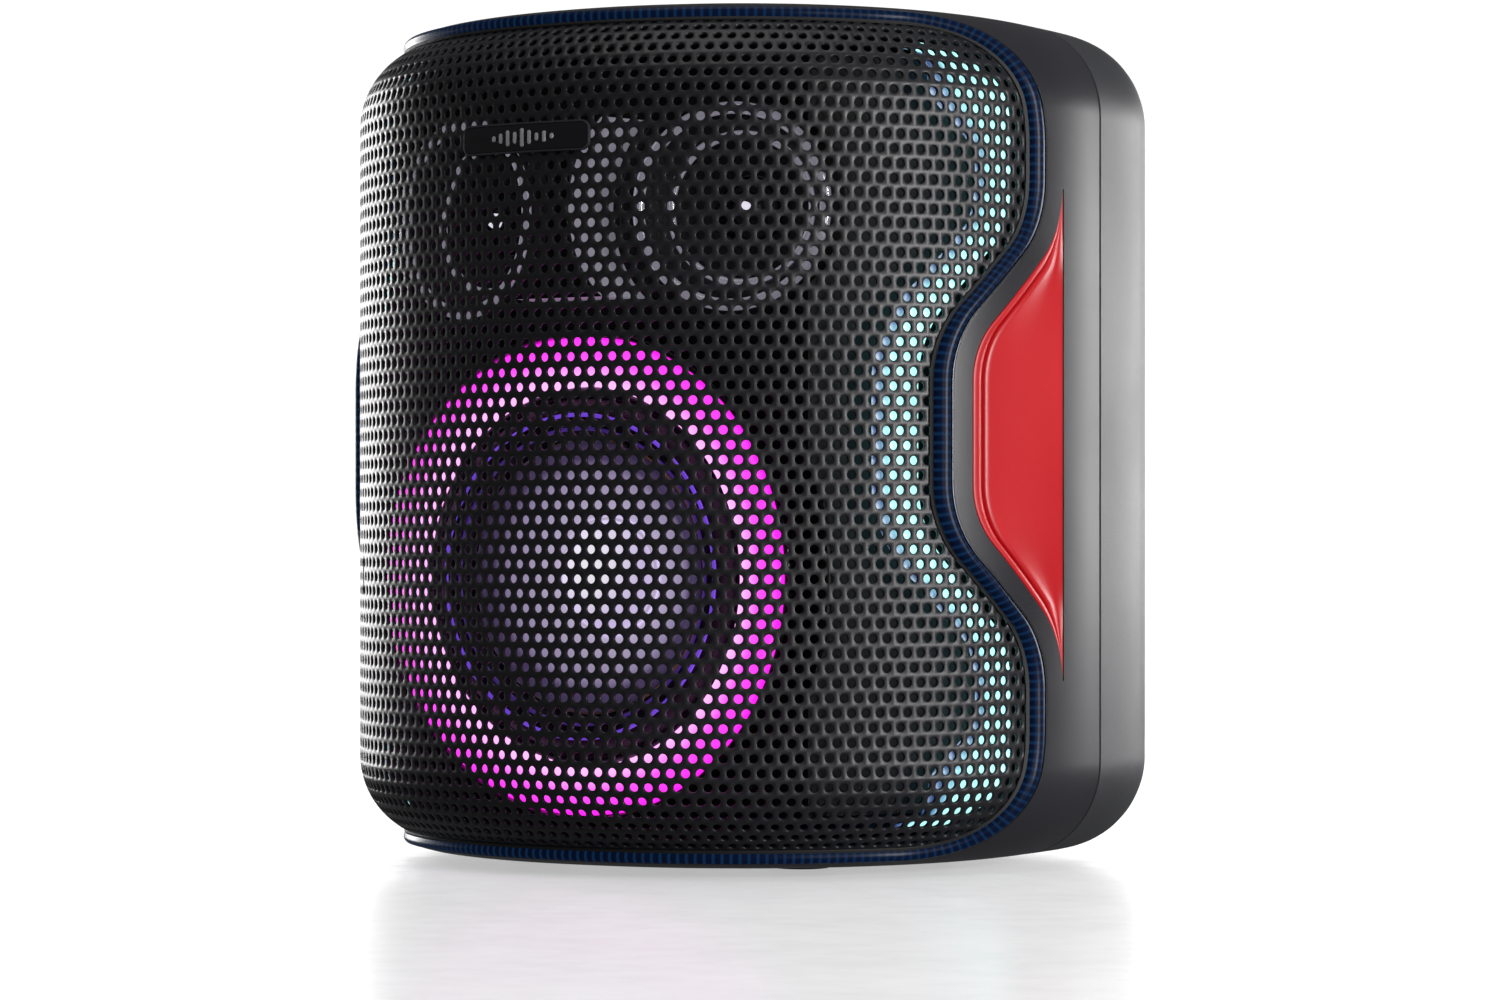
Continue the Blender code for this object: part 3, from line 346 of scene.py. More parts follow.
SEAM_CENTRE = np.array([0.0, SEAM_W, MID_Z])


def cast(directions, depth):
    """Where rays from the seam's centre meet the surface this deep under the skin."""
    near, far = np.full(len(directions), 50.0), np.full(len(directions), 300.0)
    for _ in range(20):
        middle = (near + far) / 2
        inside = case_distance(SEAM_CENTRE + directions * middle[:, None]) < -depth
        near, far = np.where(inside, middle, near), np.where(inside, far, middle)
    return SEAM_CENTRE + directions * ((near + far) / 2)[:, None]


def skin_normals(points):
    """Outward normals of the skin's family of surfaces at design points."""
    slopes = []
    for axis in range(3):
        step = np.zeros(3)
        step[axis] = 0.5
        slopes.append(case_distance(points + step) - case_distance(points - step))
    normal = np.stack(slopes, 1)
    return normal / np.maximum(np.linalg.norm(normal, axis=1), 1e-9)[:, None]


# ---------------------------------------------------------------- outlines

def rounded_path(corners, spacing=2.0):
    """Open path through corners (x, y, radius), with points about this far apart."""
    stops = []
    for index, (x, y, radius) in enumerate(corners):
        here = np.array([x, y])
        if radius == 0:
            stops.append([here])
            continue
        before = np.array(corners[index - 1][:2]) - here
        after = np.array(corners[index + 1][:2]) - here
        before, after = before / np.linalg.norm(before), after / np.linalg.norm(after)
        half = math.acos(np.clip(before @ after, -1, 1)) / 2
        centre = here + (before + after) / np.linalg.norm(before + after) * radius / math.sin(half)
        first = here + before * radius / math.tan(half) - centre
        last = here + after * radius / math.tan(half) - centre
        sweep = math.pi - 2 * half
        steps = max(2, int(sweep * radius / spacing) + 6)
        stops.append([centre + (first * math.sin(sweep * (1 - t)) + last * math.sin(sweep * t))
                      / math.sin(sweep) for t in np.linspace(0, 1, steps)])
    path = list(stops[0])
    for stop in stops[1:]:
        start, run = path[-1], np.linalg.norm(stop[0] - path[-1])
        steps = max(1, round(run / (1.6 * spacing)))
        path += [start + (stop[0] - start) * k / steps for k in range(1, steps)]
        path += list(stop)
    return np.array(path)


NOTCH_SLANT = math.atan2(NOTCH_OUTER - NOTCH_INNER, OPENING_SIDE - NOTCH_S)
NOTCH_SHIFT = math.tan((math.pi / 2 - NOTCH_SLANT) / 2)


def opening_corners(inset):
    top = OPENING_TOP - inset * END_RATIO
    side, notch, corner = OPENING_SIDE - inset, NOTCH_S - inset, OPENING_CORNER - inset
    outer, inner = NOTCH_OUTER + inset * NOTCH_SHIFT, NOTCH_INNER + inset * NOTCH_SHIFT
    small, large = NOTCH_RADIUS - inset, NOTCH_RADIUS + inset
    return ((0, top, 0), (side, top, corner), (side, NOTCH_V + outer, small),
            (notch, NOTCH_V + inner, large), (notch, NOTCH_V - inner, large),
            (side, NOTCH_V - outer, small), (side, 2 * MID_Z - top, corner),
            (0, 2 * MID_Z - top, 0))


BASE_HALF = rounded_path(opening_corners(0.0))


def drawn_in(inset):
    """Right half of the opening drawn in by inset, each point along the lip's normal."""
    tangent = np.gradient(BASE_HALF, axis=0)
    tangent /= np.linalg.norm(tangent, axis=1)[:, None]
    normal = np.stack([tangent[:, 1], -tangent[:, 0]], 1)
    moved = BASE_HALF + normal * inset * np.array([1.0, END_RATIO])
    moved[0, 0] = moved[-1, 0] = 0.0
    return moved


def opening_loop(inset, depth):
    half = drawn_in(inset)
    right = skin(half[:, 0], half[:, 1], depth)
    left = right[-2:0:-1] * np.array([-1.0, 1.0, 1.0])
    return np.concatenate([right, left])


def rounded_rectangle(width, height, radius, steps=8):
    outline = []
    for quarter in range(4):
        x = (width / 2 - radius) * (1 if quarter in (0, 3) else -1)
        y = (height / 2 - radius) * (1 if quarter in (0, 1) else -1)
        for k in range(steps + 1):
            angle = (quarter + k / steps) * math.pi / 2
            outline.append((x + radius * math.cos(angle), y + radius * math.sin(angle)))
    return np.array(outline)


# ---------------------------------------------------------------- meshes

def piece(name, points, faces, look, body=BODY, slot=None, replaces=(), sharp=35.0):
    """One visible piece from design points; it rides on a body."""
    mesh = bpy.data.meshes.new(name)
    metres = (np.asarray(points, float) - np.array([0.0, MID_W, 0.0])) * 0.001
    mesh.from_pydata(metres.tolist(), [], faces)
    fix = bmesh.new()
    fix.from_mesh(mesh)
    bmesh.ops.recalc_face_normals(fix, faces=fix.faces)
    fix.to_mesh(mesh)
    fix.free()
    mesh.shade_smooth()
    mesh.set_sharp_from_angle(angle=math.radians(sharp))
    item = bpy.data.objects.new(name, mesh)
    bpy.context.collection.objects.link(item)
    item.data.materials.append(look)
    if body:
        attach(item, body)
    if replaces:
        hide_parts(*replaces)
    return item


def bridged(rows, closed=False, cap_first=False, cap_last=False, loops=True):
    """Points and faces of rows of points joined to each other, each row a closed loop."""
    count = len(rows[0])
    points = np.concatenate([np.asarray(row) for row in rows])
    faces = []
    for k in range(len(rows) if closed else len(rows) - 1):
        here, there = k * count, (k + 1) % len(rows) * count
        for i in range(count if loops else count - 1):
            j = (i + 1) % count
            faces.append((here + i, here + j, there + j, there + i))
    if cap_first:
        faces.append(tuple(range(count)))
    if cap_last:
        faces.append(tuple(range(len(points) - count, len(points))))
    return points, faces


OPEN, CLOSED, STRIP = {}, {"closed": True}, {"loops": False}
CAPPED = {"cap_first": True, "cap_last": True}


def lofted(name, rows, look, join, **options):
    """One visible piece from rows of points; join says how bridged() closes them."""
    points, faces = bridged(rows, **join)
    return piece(name, points, faces, look, **options)


def turned(name, profile, look, origin, axis=(0.0, -1.0, 0.0), steps=96, **options):
    """A solid of revolution about an axis, from a section (radius, height)."""
    axis = np.array(axis) / np.linalg.norm(axis)
    side = np.cross(axis, (0.0, 0.0, 1.0) if abs(axis[2]) < 0.9 else (0.0, 1.0, 0.0))
    side /= np.linalg.norm(side)
    other = np.cross(axis, side)
    angle = np.linspace(0, math.tau, steps, endpoint=False)
    round_ = np.outer(np.cos(angle), side) + np.outer(np.sin(angle), other)
    rows = [np.array(origin) + round_ * max(radius, 0.01) + axis * height
            for radius, height in profile]
    hollow = profile[0][0] > 0 and profile[-1][0] > 0
    return lofted(name, rows, look, CLOSED if hollow else CAPPED, **options)


def arc(centre, radius, start, end, steps):
    """Section points along an arc; angles in degrees."""
    angles = np.radians(np.linspace(start, end, steps))
    return [(centre[0] + radius * math.cos(a), centre[1] + radius * math.sin(a)) for a in angles]


def pad(name, outline, section, look, at, join=CAPPED, **options):
    """A plate with a rounded edge: outline(inset) gives its (x, y) loop, at places it."""
    rows = [at(outline(inset)[:, 0], outline(inset)[:, 1], depth) for inset, depth in section]
    return lofted(name, rows, look, join, **options)


def tablet(width, height, radius, steps):
    """An outline for pad(): a rounded rectangle that the inset draws in."""
    return lambda inset: rounded_rectangle(width - 2 * inset, height - 2 * inset,
                                           radius - inset, steps)


def on_skin(s, v):
    return lambda x, y, depth: skin(s + x, v + y, depth)


def on_rear(x0, z0):
    def at(x, y, depth):
        u = x0 + x
        order = slice(None, None, -1)
        w = np.interp(np.abs(u), PLAN_U[order][:700], PLAN_W[order][:700]) + PROUD - depth
        return np.stack([u, w, z0 + y], -1)
    return at


def on_top(u0, w0):
    return lambda x, y, depth: np.stack([u0 + x, w0 + y, np.full(len(x), CASE_HIGH - depth)], -1)


def cut(item, *cutters):
    """Cuts the cutters out of a piece."""
    for cutter in cutters:
        modifier = item.modifiers.new("cut", "BOOLEAN")
        modifier.operation, modifier.solver, modifier.object = "DIFFERENCE", "EXACT", cutter
    bpy.context.view_layer.update()
    graph = bpy.context.evaluated_depsgraph_get()
    result = bpy.data.meshes.new_from_object(item.evaluated_get(graph))
    result.validate()
    item.modifiers.clear()
    item.data = result
    for cutter in cutters:
        bpy.data.objects.remove(cutter, do_unlink=True)
    return item


def smooth_as_skin(item):
    """Shades faces that lie on the skin with the skin's own normals."""
    mesh = item.data
    mesh.shade_smooth()
    mesh.set_sharp_from_angle(angle=math.radians(32))
    points = np.empty(len(mesh.vertices) * 3, np.float32)
    mesh.vertices.foreach_get("co", points)
    points = points.reshape(-1, 3) * 1000.0 + np.array([0.0, MID_W, 0.0])
    normals = skin_normals(points)
    near = np.abs(case_distance(points)) < 0.12
    corner = np.empty(len(mesh.loops) * 3, np.float32)
    mesh.corner_normals.foreach_get("vector", corner)
    corner = corner.reshape(-1, 3).astype(float)
    vertex = np.empty(len(mesh.loops), np.int32)
    mesh.loops.foreach_get("vertex_index", vertex)
    face_normal = np.empty(len(mesh.polygons) * 3, np.float32)
    mesh.polygons.foreach_get("normal", face_normal)
    totals = np.empty(len(mesh.polygons), np.int32)
    mesh.polygons.foreach_get("loop_total", totals)
    face_normal = np.repeat(face_normal.reshape(-1, 3), totals, axis=0)
    along = (face_normal * normals[vertex]).sum(1) > 0.93
    use = near[vertex] & along
    corner[use] = normals[vertex][use]
    mesh.normals_split_custom_set(corner.tolist())
    return item


# ---------------------------------------------------------------- case shells

def case_loops(start, end, shares, depth):
    rows = []
    for share in shares:
        mixed = start * (1 - share) + end * share
        rows.append(cast(mixed / np.linalg.norm(mixed, axis=1)[:, None], depth))
    return rows


def insert_outline(grow, tip=95.0):
    """Rows (v, front s, rear s) of a side insert from its upper to its lower tip."""
    outer, inner = 80.0 + grow * NOTCH_SHIFT, 33.0 + grow * NOTCH_SHIFT
    front, rear = 178.4 - grow, 228.5
    corners = ((rear - grow, 150.0, 0), (rear - grow, outer, 40.0 - grow),
               (front, inner, 31.0 + grow), (front, 0, 0))
    path = rounded_path(corners, 1.5)
    heights = np.concatenate([np.linspace(tip + grow, 60, 20), np.linspace(60, 0, 26)[1:]])
    order = path[:, 1].argsort()
    fronts = np.interp(heights, path[order, 1], path[order, 0])
    upper = [(NOTCH_V + v, s, rear + grow) for v, s in zip(heights, fronts)]
    return upper + [(2 * NOTCH_V - v, s, r) for v, s, r in upper[-2::-1]]


def insert_cutter(side):
    """The hole an insert sits in: its outline with clearance, through the wall."""
    rows = insert_outline(0.35)
    columns = 14
    grids = []
    for depth in (-6.0, 9.0):
        grids.append([skin(side * np.linspace(low, high, columns), v, depth)
                      for v, low, high in rows])
    outer, inner = (np.array(g) for g in grids)
    edge = [(0, c) for c in range(columns)] + [(r, columns - 1) for r in range(1, len(rows))]
    edge += [(len(rows) - 1, c) for c in range(columns - 2, -1, -1)]
    edge += [(r, 0) for r in range(len(rows) - 2, 0, -1)]
    points = np.concatenate([outer.reshape(-1, 3), inner.reshape(-1, 3)])
    base = len(rows) * columns
    faces = [tuple(r * columns + c if k < 2 else base + r * columns + c
                   for k, (r, c) in enumerate((edge[i], edge[(i + 1) % len(edge)],
                                               edge[(i + 1) % len(edge)], edge[i])))
             for i in range(len(edge))]
    for r in range(len(rows) - 1):
        for c in range(columns - 1):
            a, b = r * columns + c, (r + 1) * columns + c
            faces += [(a, a + 1, b + 1, b), (base + a, base + b, base + b + 1, base + a + 1)]
    return piece("insert_cutter", points, faces, INSERT_RED, body=None)


def front_case():
    lip = opening_loop(-0.9, 0.0)
    start = lip - SEAM_CENTRE
    start /= np.linalg.norm(start, axis=1)[:, None]
    end = (lip - SEAM_CENTRE) * np.array([1.0, 0.0, 1.0])
    end /= np.linalg.norm(end, axis=1)[:, None]
    shares = np.concatenate([[0.0], np.linspace(0, 1, 34)[1:] ** 1.25])
    outer = case_loops(start, end, shares, 0.0)
    outer[-1][:, 1] -= 0.6
    seam = [cast(end, 0.7) + np.array([0.0, -0.05, 0.0]), cast(end, 2.4)]
    inner = case_loops(start, end, (1.0, 0.75, 0.5, 0.25, 0.08), WALL)
    edge = [opening_loop(0.0, WALL), opening_loop(0.0, 0.9), opening_loop(-0.08, 0.5),
            opening_loop(-0.35, 0.14)]
    shell = lofted("front_case", outer + seam + inner + edge, CASE_SKIN, CLOSED,
                   slot="case_plastic", replaces=("front_shell",))
    outline = rounded_rectangle(PANEL_LENGTH + 0.7, PANEL_WIDTH + 0.7, 8.3)
    hole = pad("panel_cutter", lambda inset: outline, ((0, -4.0), (0, 8.0)), CASE_SKIN,
               on_top(0.0, PANEL_W), body=None)
    cut(shell, insert_cutter(1.0), insert_cutter(-1.0), hole)
    return smooth_as_skin(shell)


def rear_case():
    corners = ((0, MID_Z - CASE_LOW, 0), (HALF_WIDTH, MID_Z - CASE_LOW, EDGE), (HALF_WIDTH, 0, 0))
    quarter = rounded_path(corners, 2.4)
    right = list(quarter) + [(x, -z) for x, z in quarter[-2::-1]]
    outline = right + [(-x, z) for x, z in right[-2:0:-1]]
    ring = np.array([(x, 0.0, z) for x, z in outline])
    seam = ring / np.linalg.norm(ring, axis=1)[:, None]
    back = np.array([[0.0, 1.0, 0.0]])

    def loops(degrees, depth):
        return [cast(seam * math.cos(math.radians(a)) + back * math.sin(math.radians(a)), depth)
                for a in degrees]

    outer = loops(np.concatenate([np.linspace(0.0, 64, 48), (69, 74, 79, 84, 88)]), 0.0)
    outer[0][:, 1] += 0.9
    seam_edge = [cast(seam, 2.2) + np.array([0.0, 0.5, 0.0]),
                 cast(seam, 0.7) + np.array([0.0, 0.55, 0.0])]
    inner = loops((80, 60, 45, 35, 28, 20, 10, 3), WALL)
    shell = lofted("rear_case", inner + seam_edge + outer, REAR_SKIN, CAPPED,
                   slot="rear_plastic", replaces=("rear_shell",))
    holes = []
    for node, corner, grow in (("carry_grip", 9.0, -1.2), ("jack_bay", 5.0, 0.3)):
        low, high = low_high(node)
        size = (high - low) + 2 * grow
        outline = rounded_rectangle(size[0], size[2], corner)
        holes.append(pad(node + "_cutter", lambda inset, shape=outline: shape,
                         ((0, -6.0), (0, 12.0)), REAR_SKIN,
                         on_rear(0.0, (low[2] + high[2]) / 2), body=None))
    holes.append(turned("port_cutter", ((0, -20.0), (32.4, -20.0), (32.4, 6.0), (0, 6.0)),
                        REAR_SKIN, (0.0, REAR_W, PORT_Z), (0, 1, 0), 96, body=None))
    for index in range(1, 5):
        low, high = low_high("case_screw_%d" % index)
        centre = (low + high) / 2
        holes.append(turned("screw_cutter", ((0, -12.0), (4.3, -12.0), (4.3, 0.2), (5.0, 1.2),
                                             (5.0, 12.0), (0, 12.0)), REAR_SKIN,
                            (centre[0], REAR_W - 4.0, centre[2]), (0, 1, 0), 40, body=None))
    cut(shell, *holes)
    return smooth_as_skin(shell)


# ---------------------------------------------------------------- grille and its frame

def sheet_v(height):
    """v of a height measured along the grille, whose bends are tighter than the skin's."""
    tight = EDGE / (EDGE - PROUD)
    over, under = np.maximum(height - HIGH_EDGE, 0), np.maximum(LOW_EDGE - height, 0)
    return np.clip(height, LOW_EDGE, HIGH_EDGE) + (over - under) * tight


def inside_outline(s, height, outline):
    """Which points lie in the right half outline, mirrored."""
    x, y = np.abs(s), sheet_v(height)
    px = np.concatenate([outline[:, 0], [0.0]])
    py = np.concatenate([outline[:, 1], [outline[0, 1]]])
    hit = np.zeros(len(x), bool)
    for k in range(len(px) - 1):
        crosses = (py[k] > y) != (py[k + 1] > y)
        rise = py[k + 1] - py[k]
        if abs(rise) > 1e-9:
            hit ^= crosses & (x < px[k] + (y - py[k]) * (px[k + 1] - px[k]) / rise)
    return hit | ((x < 1e-6) & (y > py.min()) & (y < py.max()))


CELL_EDGE = ((0.5, 0.0), (0.5, 0.5), (0.25, 0.5), (0.0, 0.5), (-0.25, 0.5), (-0.5, 0.5),
             (-0.5, 0.0), (-0.5, -0.5), (-0.25, -0.5), (0.0, -0.5), (0.25, -0.5), (0.5, -0.5))


def hole_centres():
    rows = []
    for row in range(-26, 42):
        shift = 0.02 if row % 2 else 0.53
        s = (np.arange(-40, 40) + shift) * HOLE_PITCH_S
        height = np.full(len(s), HOLE_ROW_V + row * HOLE_PITCH_V)
        rows.append(np.stack([s, height], 1))
    centres = np.concatenate(rows)
    return centres[inside_outline(centres[:, 0], centres[:, 1], drawn_in(3.0))]


def grille_part(name, centres):
    """Punched sheet: each hole is a ring of faces out to its cell's edge, and a wall."""
    turn = np.linspace(0, math.tau, 12, endpoint=False)
    rim = np.stack([np.cos(turn), np.sin(turn)], 1)
    edge = np.array(CELL_EDGE) * np.array([HOLE_PITCH_S, HOLE_PITCH_V])
    loops = []
    for offsets, depth in ((edge, 0.0), (rim * (HOLE_RADIUS + 0.16), 0.0),
                           (rim * HOLE_RADIUS, 0.16), (rim * HOLE_RADIUS, SHEET)):
        at = centres[:, None, :] + offsets[None]
        loops.append(skin(at[..., 0], sheet_v(at[..., 1]), PROUD + depth))
    cells = np.stack(loops, 1)                      # cell, ring, corner, xyz
    count = len(centres)
    base = np.arange(count)[:, None, None] * 48 + np.arange(3)[None, :, None] * 12
    here, there = np.arange(12), (np.arange(12) + 1) % 12
    faces = np.stack([base + here, base + there, base + 12 + there, base + 12 + here], -1)
    mesh = bpy.data.meshes.new(name)
    metres = (cells.reshape(-1, 3) - np.array([0.0, MID_W, 0.0])) * 0.001
    mesh.from_pydata(metres.tolist(), [], faces.reshape(-1, 4).tolist())
    weld = bmesh.new()
    weld.from_mesh(mesh)
    bmesh.ops.remove_doubles(weld, verts=weld.verts, dist=0.00002)
    bmesh.ops.recalc_face_normals(weld, faces=weld.faces)
    weld.to_mesh(mesh)
    weld.free()
    if mesh.polygons[0].normal.y >= 0:          # the faces look inwards
        mesh.flip_normals()
    mesh.shade_smooth()
    mesh.set_sharp_from_angle(angle=math.radians(50))
    item = bpy.data.objects.new(name, mesh)
    bpy.context.collection.objects.link(item)
    item.data.materials.append(GRILLE_PAINT)
    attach(item, BODY)
    return item


def grille():
    centres = hole_centres()
    limits = (-400.0, -110.0, -37.0, 37.0, 110.0, 400.0)
    names = ("far_left", "left", "middle", "right", "far_right")
    for label, low, high in zip(names, limits, limits[1:]):
        chosen = centres[(centres[:, 0] >= low) & (centres[:, 0] < high)]
        item = grille_part("grille_" + label, chosen)
        if label == "middle":
            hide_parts("grille")


def add_along(item, rows):
    """A UV layer: x runs along each row in millimetres, y across the rows from 0 to 1."""
    count = len(rows[0])
    middle = np.asarray(rows[len(rows) // 2])
    run = np.concatenate([[0], np.cumsum(np.linalg.norm(np.diff(middle, axis=0), axis=1))])
    layer = item.data.uv_layers.new(name="along")
    for loop in item.data.loops:
        k, i = divmod(loop.vertex_index, count)
        layer.data[loop.index].uv = (run[i], k / (len(rows) - 1))


def light_guide():
    section = ((0.45, 3.7), (0.45, 1.2), (0.7, 0.35), (1.3, -0.1), (3.0, -0.35), (4.6, 0.0),
               (5.9, 0.7), (6.6, 1.5), (6.9, 2.4), (6.9, 3.7))
    rows = [opening_loop(inset, depth) for inset, depth in section]
    item = lofted("light_ring_guide", rows, GUIDE_BLUE, CLOSED,
                  slot="guide_plastic", replaces=("light_guide",))
    add_along(item, rows)
    line = ((-0.05, 1.2), (-0.05, 0.1), (0.1, -0.1), (0.35, -0.1), (0.42, 0.3), (0.42, 1.2))
    lofted("guide_bright_line", [opening_loop(i, d) for i, d in line], BRIGHT_EDGE, CLOSED,
           slot="guide_plastic")
    # A matte black band between the guide's inner edge and the grille stands in for the shadow in
    # that gap: painted shadow.
    shadow_band = ((6.95, 2.8), (6.95, 3.9), (8.3, 3.9), (8.3, 3.4))
    lofted("guide_painted_shadow", [opening_loop(i, d) for i, d in shadow_band], MATTE_BLACK, CLOSED,
           slot="grille_metal")


def side_insert(label, side):
    """Bevelled rim, a groove, and a face that is scooped a little."""
    across = ((0.0, 1.2), (0.0, 0.5), (0.25, 0.25), (0.6, 0.15), (2.6, 0.35), (4.3, 0.75),
              (4.7, 1.3), (5.0, 2.1), (5.5, 2.1), (5.9, 1.1), (6.6, 0.7), (9.0, 0.9))
    rest = np.linspace(0.0, 1.0, 16)[1:]
    rows = []
    for v, front, rear in insert_outline(0.0):
        width = rear - front
        squeeze = min(1.0, width / 16.0)
        tall = math.cos(min(abs(v - NOTCH_V) / 95.0, 1.0) * math.pi / 2)
        line = [(front + d * squeeze, depth if squeeze == 1.0 else 0.3 + (depth - 0.3) * squeeze)
                for d, depth in across]
        begin, start_depth = line[-1]
        for share in rest:
            scoop = 1.5 * tall * math.sin(math.pi * share)
            ease = start_depth * (1 - share) + 0.3 * share
            line.append((begin + (rear - begin) * share, ease + scoop))
        line.append((rear, 1.2))
        s, depth = np.array(line).T
        rows.append(skin(side * s, v, depth))
    lofted("insert_" + label, rows, INSERT_RED, STRIP,
           slot="insert_plastic", replaces=("side_insert_" + label,), sharp=50)


def badge():
    """Gloss plate with a dull dark rim and a plain row of level bars."""
    width, height, corner, v = 58.0, 11.6, 3.6, 281.0

    def outline(inset):
        size = (width - 2 * inset, height - 2 * inset)
        return rounded_rectangle(*size, max(min(corner - inset, size[1] / 2 - 0.01), 0.05), 10)

    def fine(inset):
        """The outline with its long sides split, so the plate follows the curve."""
        loop = outline(inset)
        loop = np.concatenate([loop, loop[:1]])
        run = np.concatenate([[0], np.cumsum(np.hypot(*np.diff(loop, axis=0).T))])
        base = outline(0.0)
        base = np.concatenate([base, base[:1]])
        base_run = np.concatenate([[0], np.cumsum(np.hypot(*np.diff(base, axis=0).T))])
        marks = np.unique(np.concatenate([base_run, np.linspace(0, base_run[-1], 90)]))[:-1]
        share = np.interp(marks, base_run, run)
        return np.stack([np.interp(share, run, loop[:, 0]), np.interp(share, run, loop[:, 1])], 1)

    place = on_skin(0.0, v)
    pad("badge", fine, ((0.9, 3.6), (0.9, 2.6), (1.0, 2.4), (2.2, 2.3), (4.2, 2.25), (5.5, 2.25)),
        GLOSS_BLACK, place, slot="gloss_black", replaces=("badge_plate",))
    rim = ((0.0, 3.7), (0.0, 2.6), (0.12, 2.3), (0.4, 2.2), (0.75, 2.25), (0.85, 2.6), (0.85, 3.7))
    pad("badge_rim", fine, rim, BRIGHT_EDGE, place, CLOSED, slot="gloss_black")
    levels = (2.2, 3.8, 6.0, 4.4, 7.0, 5.2, 3.0, 4.2, 2.0)
    for index, tall in enumerate(levels):
        x = (index - (len(levels) - 1) / 2) * 3.3
        bar = tablet(1.5, tall, 0.7, 4)
        pad("badge_bar_%d" % (index + 1), bar, ((0.0, 2.35), (0.0, 2.05), (0.15, 1.95), (0.5, 1.95)),
            MARK_GREY, on_skin(x, v), slot="gloss_black")


def side_bar(label, side):
    """Diffuser behind the grille that follows the opening's edge and fades inwards."""
    outer, inner = drawn_in(GLOW_OUTER), drawn_in(GLOW_INNER)
    top, bottom = outer[0, 1], outer[-1, 1]
    heights = np.linspace(bottom + 1.5, top - 1.5, 150)
    keep = outer[:, 0] > 150
    order = outer[keep, 1].argsort()
    edge = np.interp(heights, outer[keep][order, 1], outer[keep][order, 0])
    keep = inner[:, 0] > 120
    order = inner[keep, 1].argsort()
    start = np.interp(heights, inner[keep][order, 1], inner[keep][order, 0])
    turn = np.abs(heights - MID_Z) - (MID_Z - bottom - 48.0)
    ease = np.clip((turn + 14.0) / 28.0, 0, 1)
    start += (np.minimum(start, GLOW_END_S) - start) * ease ** 2 * (3 - 2 * ease)
    start = np.minimum(start, edge - 3.0) - 4.0
    rows = []
    for share in np.linspace(0, 1, 12):
        s = start + (edge - start) * share
        rows.append(skin(side * s, heights, 10.0 + 1.2 * math.sin(math.pi * share)))
    item = lofted("side_glow_" + label, rows, BAR_LIGHT, STRIP,
                  slot="side_light", replaces=("side_light_bar_" + label,))
    add_along(item, rows)


# ---------------------------------------------------------------- drivers

def woofer():
    origin = (0.0, BAFFLE_W, WOOFER_Z)
    high = BAFFLE_W - RING_W
    turned("ring_diffuser", [(73.5, 2.0), (73.6, high - 5.0)]
           + arc((77.6, high - 4.6), 4.0, 175, 90, 8)
           + [(83.0, high - 0.2)] + arc((88.0, high - 5.0), 4.6, 90, 0, 8) + [(92.6, 1.0)],
           RING_LIGHT, origin, steps=128, slot="ring_light", replaces=("woofer_light_ring",))
    turned("ring_trim", [(93.2, 0.6), (93.2, high - 4.0)] + arc((94.4, high - 4.0), 1.2, 180, 0, 7)
           + [(95.6, 0.6)], GLOSS_BLACK, origin, steps=128, slot="gloss_black")
    roll = arc((62.2, 3.2), 6.9, 178, 12, 18)
    turned("surround_roll", [(53.6, 2.4), (55.0, 2.9)] + roll + [(70.5, 4.9), (73.2, 5.0),
           (73.2, 3.5), (68.0, 3.2), (55.6, 2.0)], RUBBER, origin, steps=128, slot="soft_rubber",
           replaces=("woofer_surround",))
    turned("surround_gasket", [(69.6, 5.4)] + arc((72.0, 5.6), 1.1, 180, 0, 8) + [(73.2, 5.2)],
           MATTE_BLACK, origin, steps=96, slot="soft_rubber")
    # Two thin rings on the surround roll glow violet: painted highlights of the ring's light on the
    # rubber.
    for index, (radius, height, look) in enumerate(((57.4, 8.3, VIOLET_PAINTED_DIM),
                                                    (62.6, 10.2, VIOLET_PAINTED_BRIGHT)), 1):
        turned("surround_line_%d" % index, arc((radius, height), 0.8, 0, 330, 8), look, origin,
               steps=96, slot="soft_rubber")
    bowl = [(52.8, 2.9), (52.6, 3.6), (51.0, 3.5)]
    bowl += [(r, 3.3 - 19.2 * ((51.0 - r) / 33.0) ** 1.12) for r in np.linspace(49.5, 18.0, 22)]
    # The cone, its cap and the bead round the cap carry painted light: their finishes glow.
    turned("cone_bowl", bowl + [(17.6, -16.6), (19.2, -17.2), (46.0, 1.2), (52.4, 2.1)],
           CONE_PAINTED_GLOW, origin, steps=96, body="woofer_cone", slot="cone_metal",
           replaces=("woofer_cone",))
    dome = [(0.0, -2.6)] + [(r, -2.6 - 8.6 * (r / 22.0) ** 2.1) for r in np.linspace(1.5, 21.5, 14)]
    turned("cone_cap", dome + [(22.2, -11.4), (21.8, -12.4), (0.0, -9.0)], CAP_PAINTED_HIGHLIGHT, origin,
           steps=72, body="woofer_cone", slot="cone_metal", replaces=("woofer_dust_cap",))
    turned("cap_bead", arc((22.4, -11.2), 0.8, 0, 330, 10), CONE_PAINTED_GLOW, origin, steps=72,
           body="woofer_cone", slot="soft_rubber")


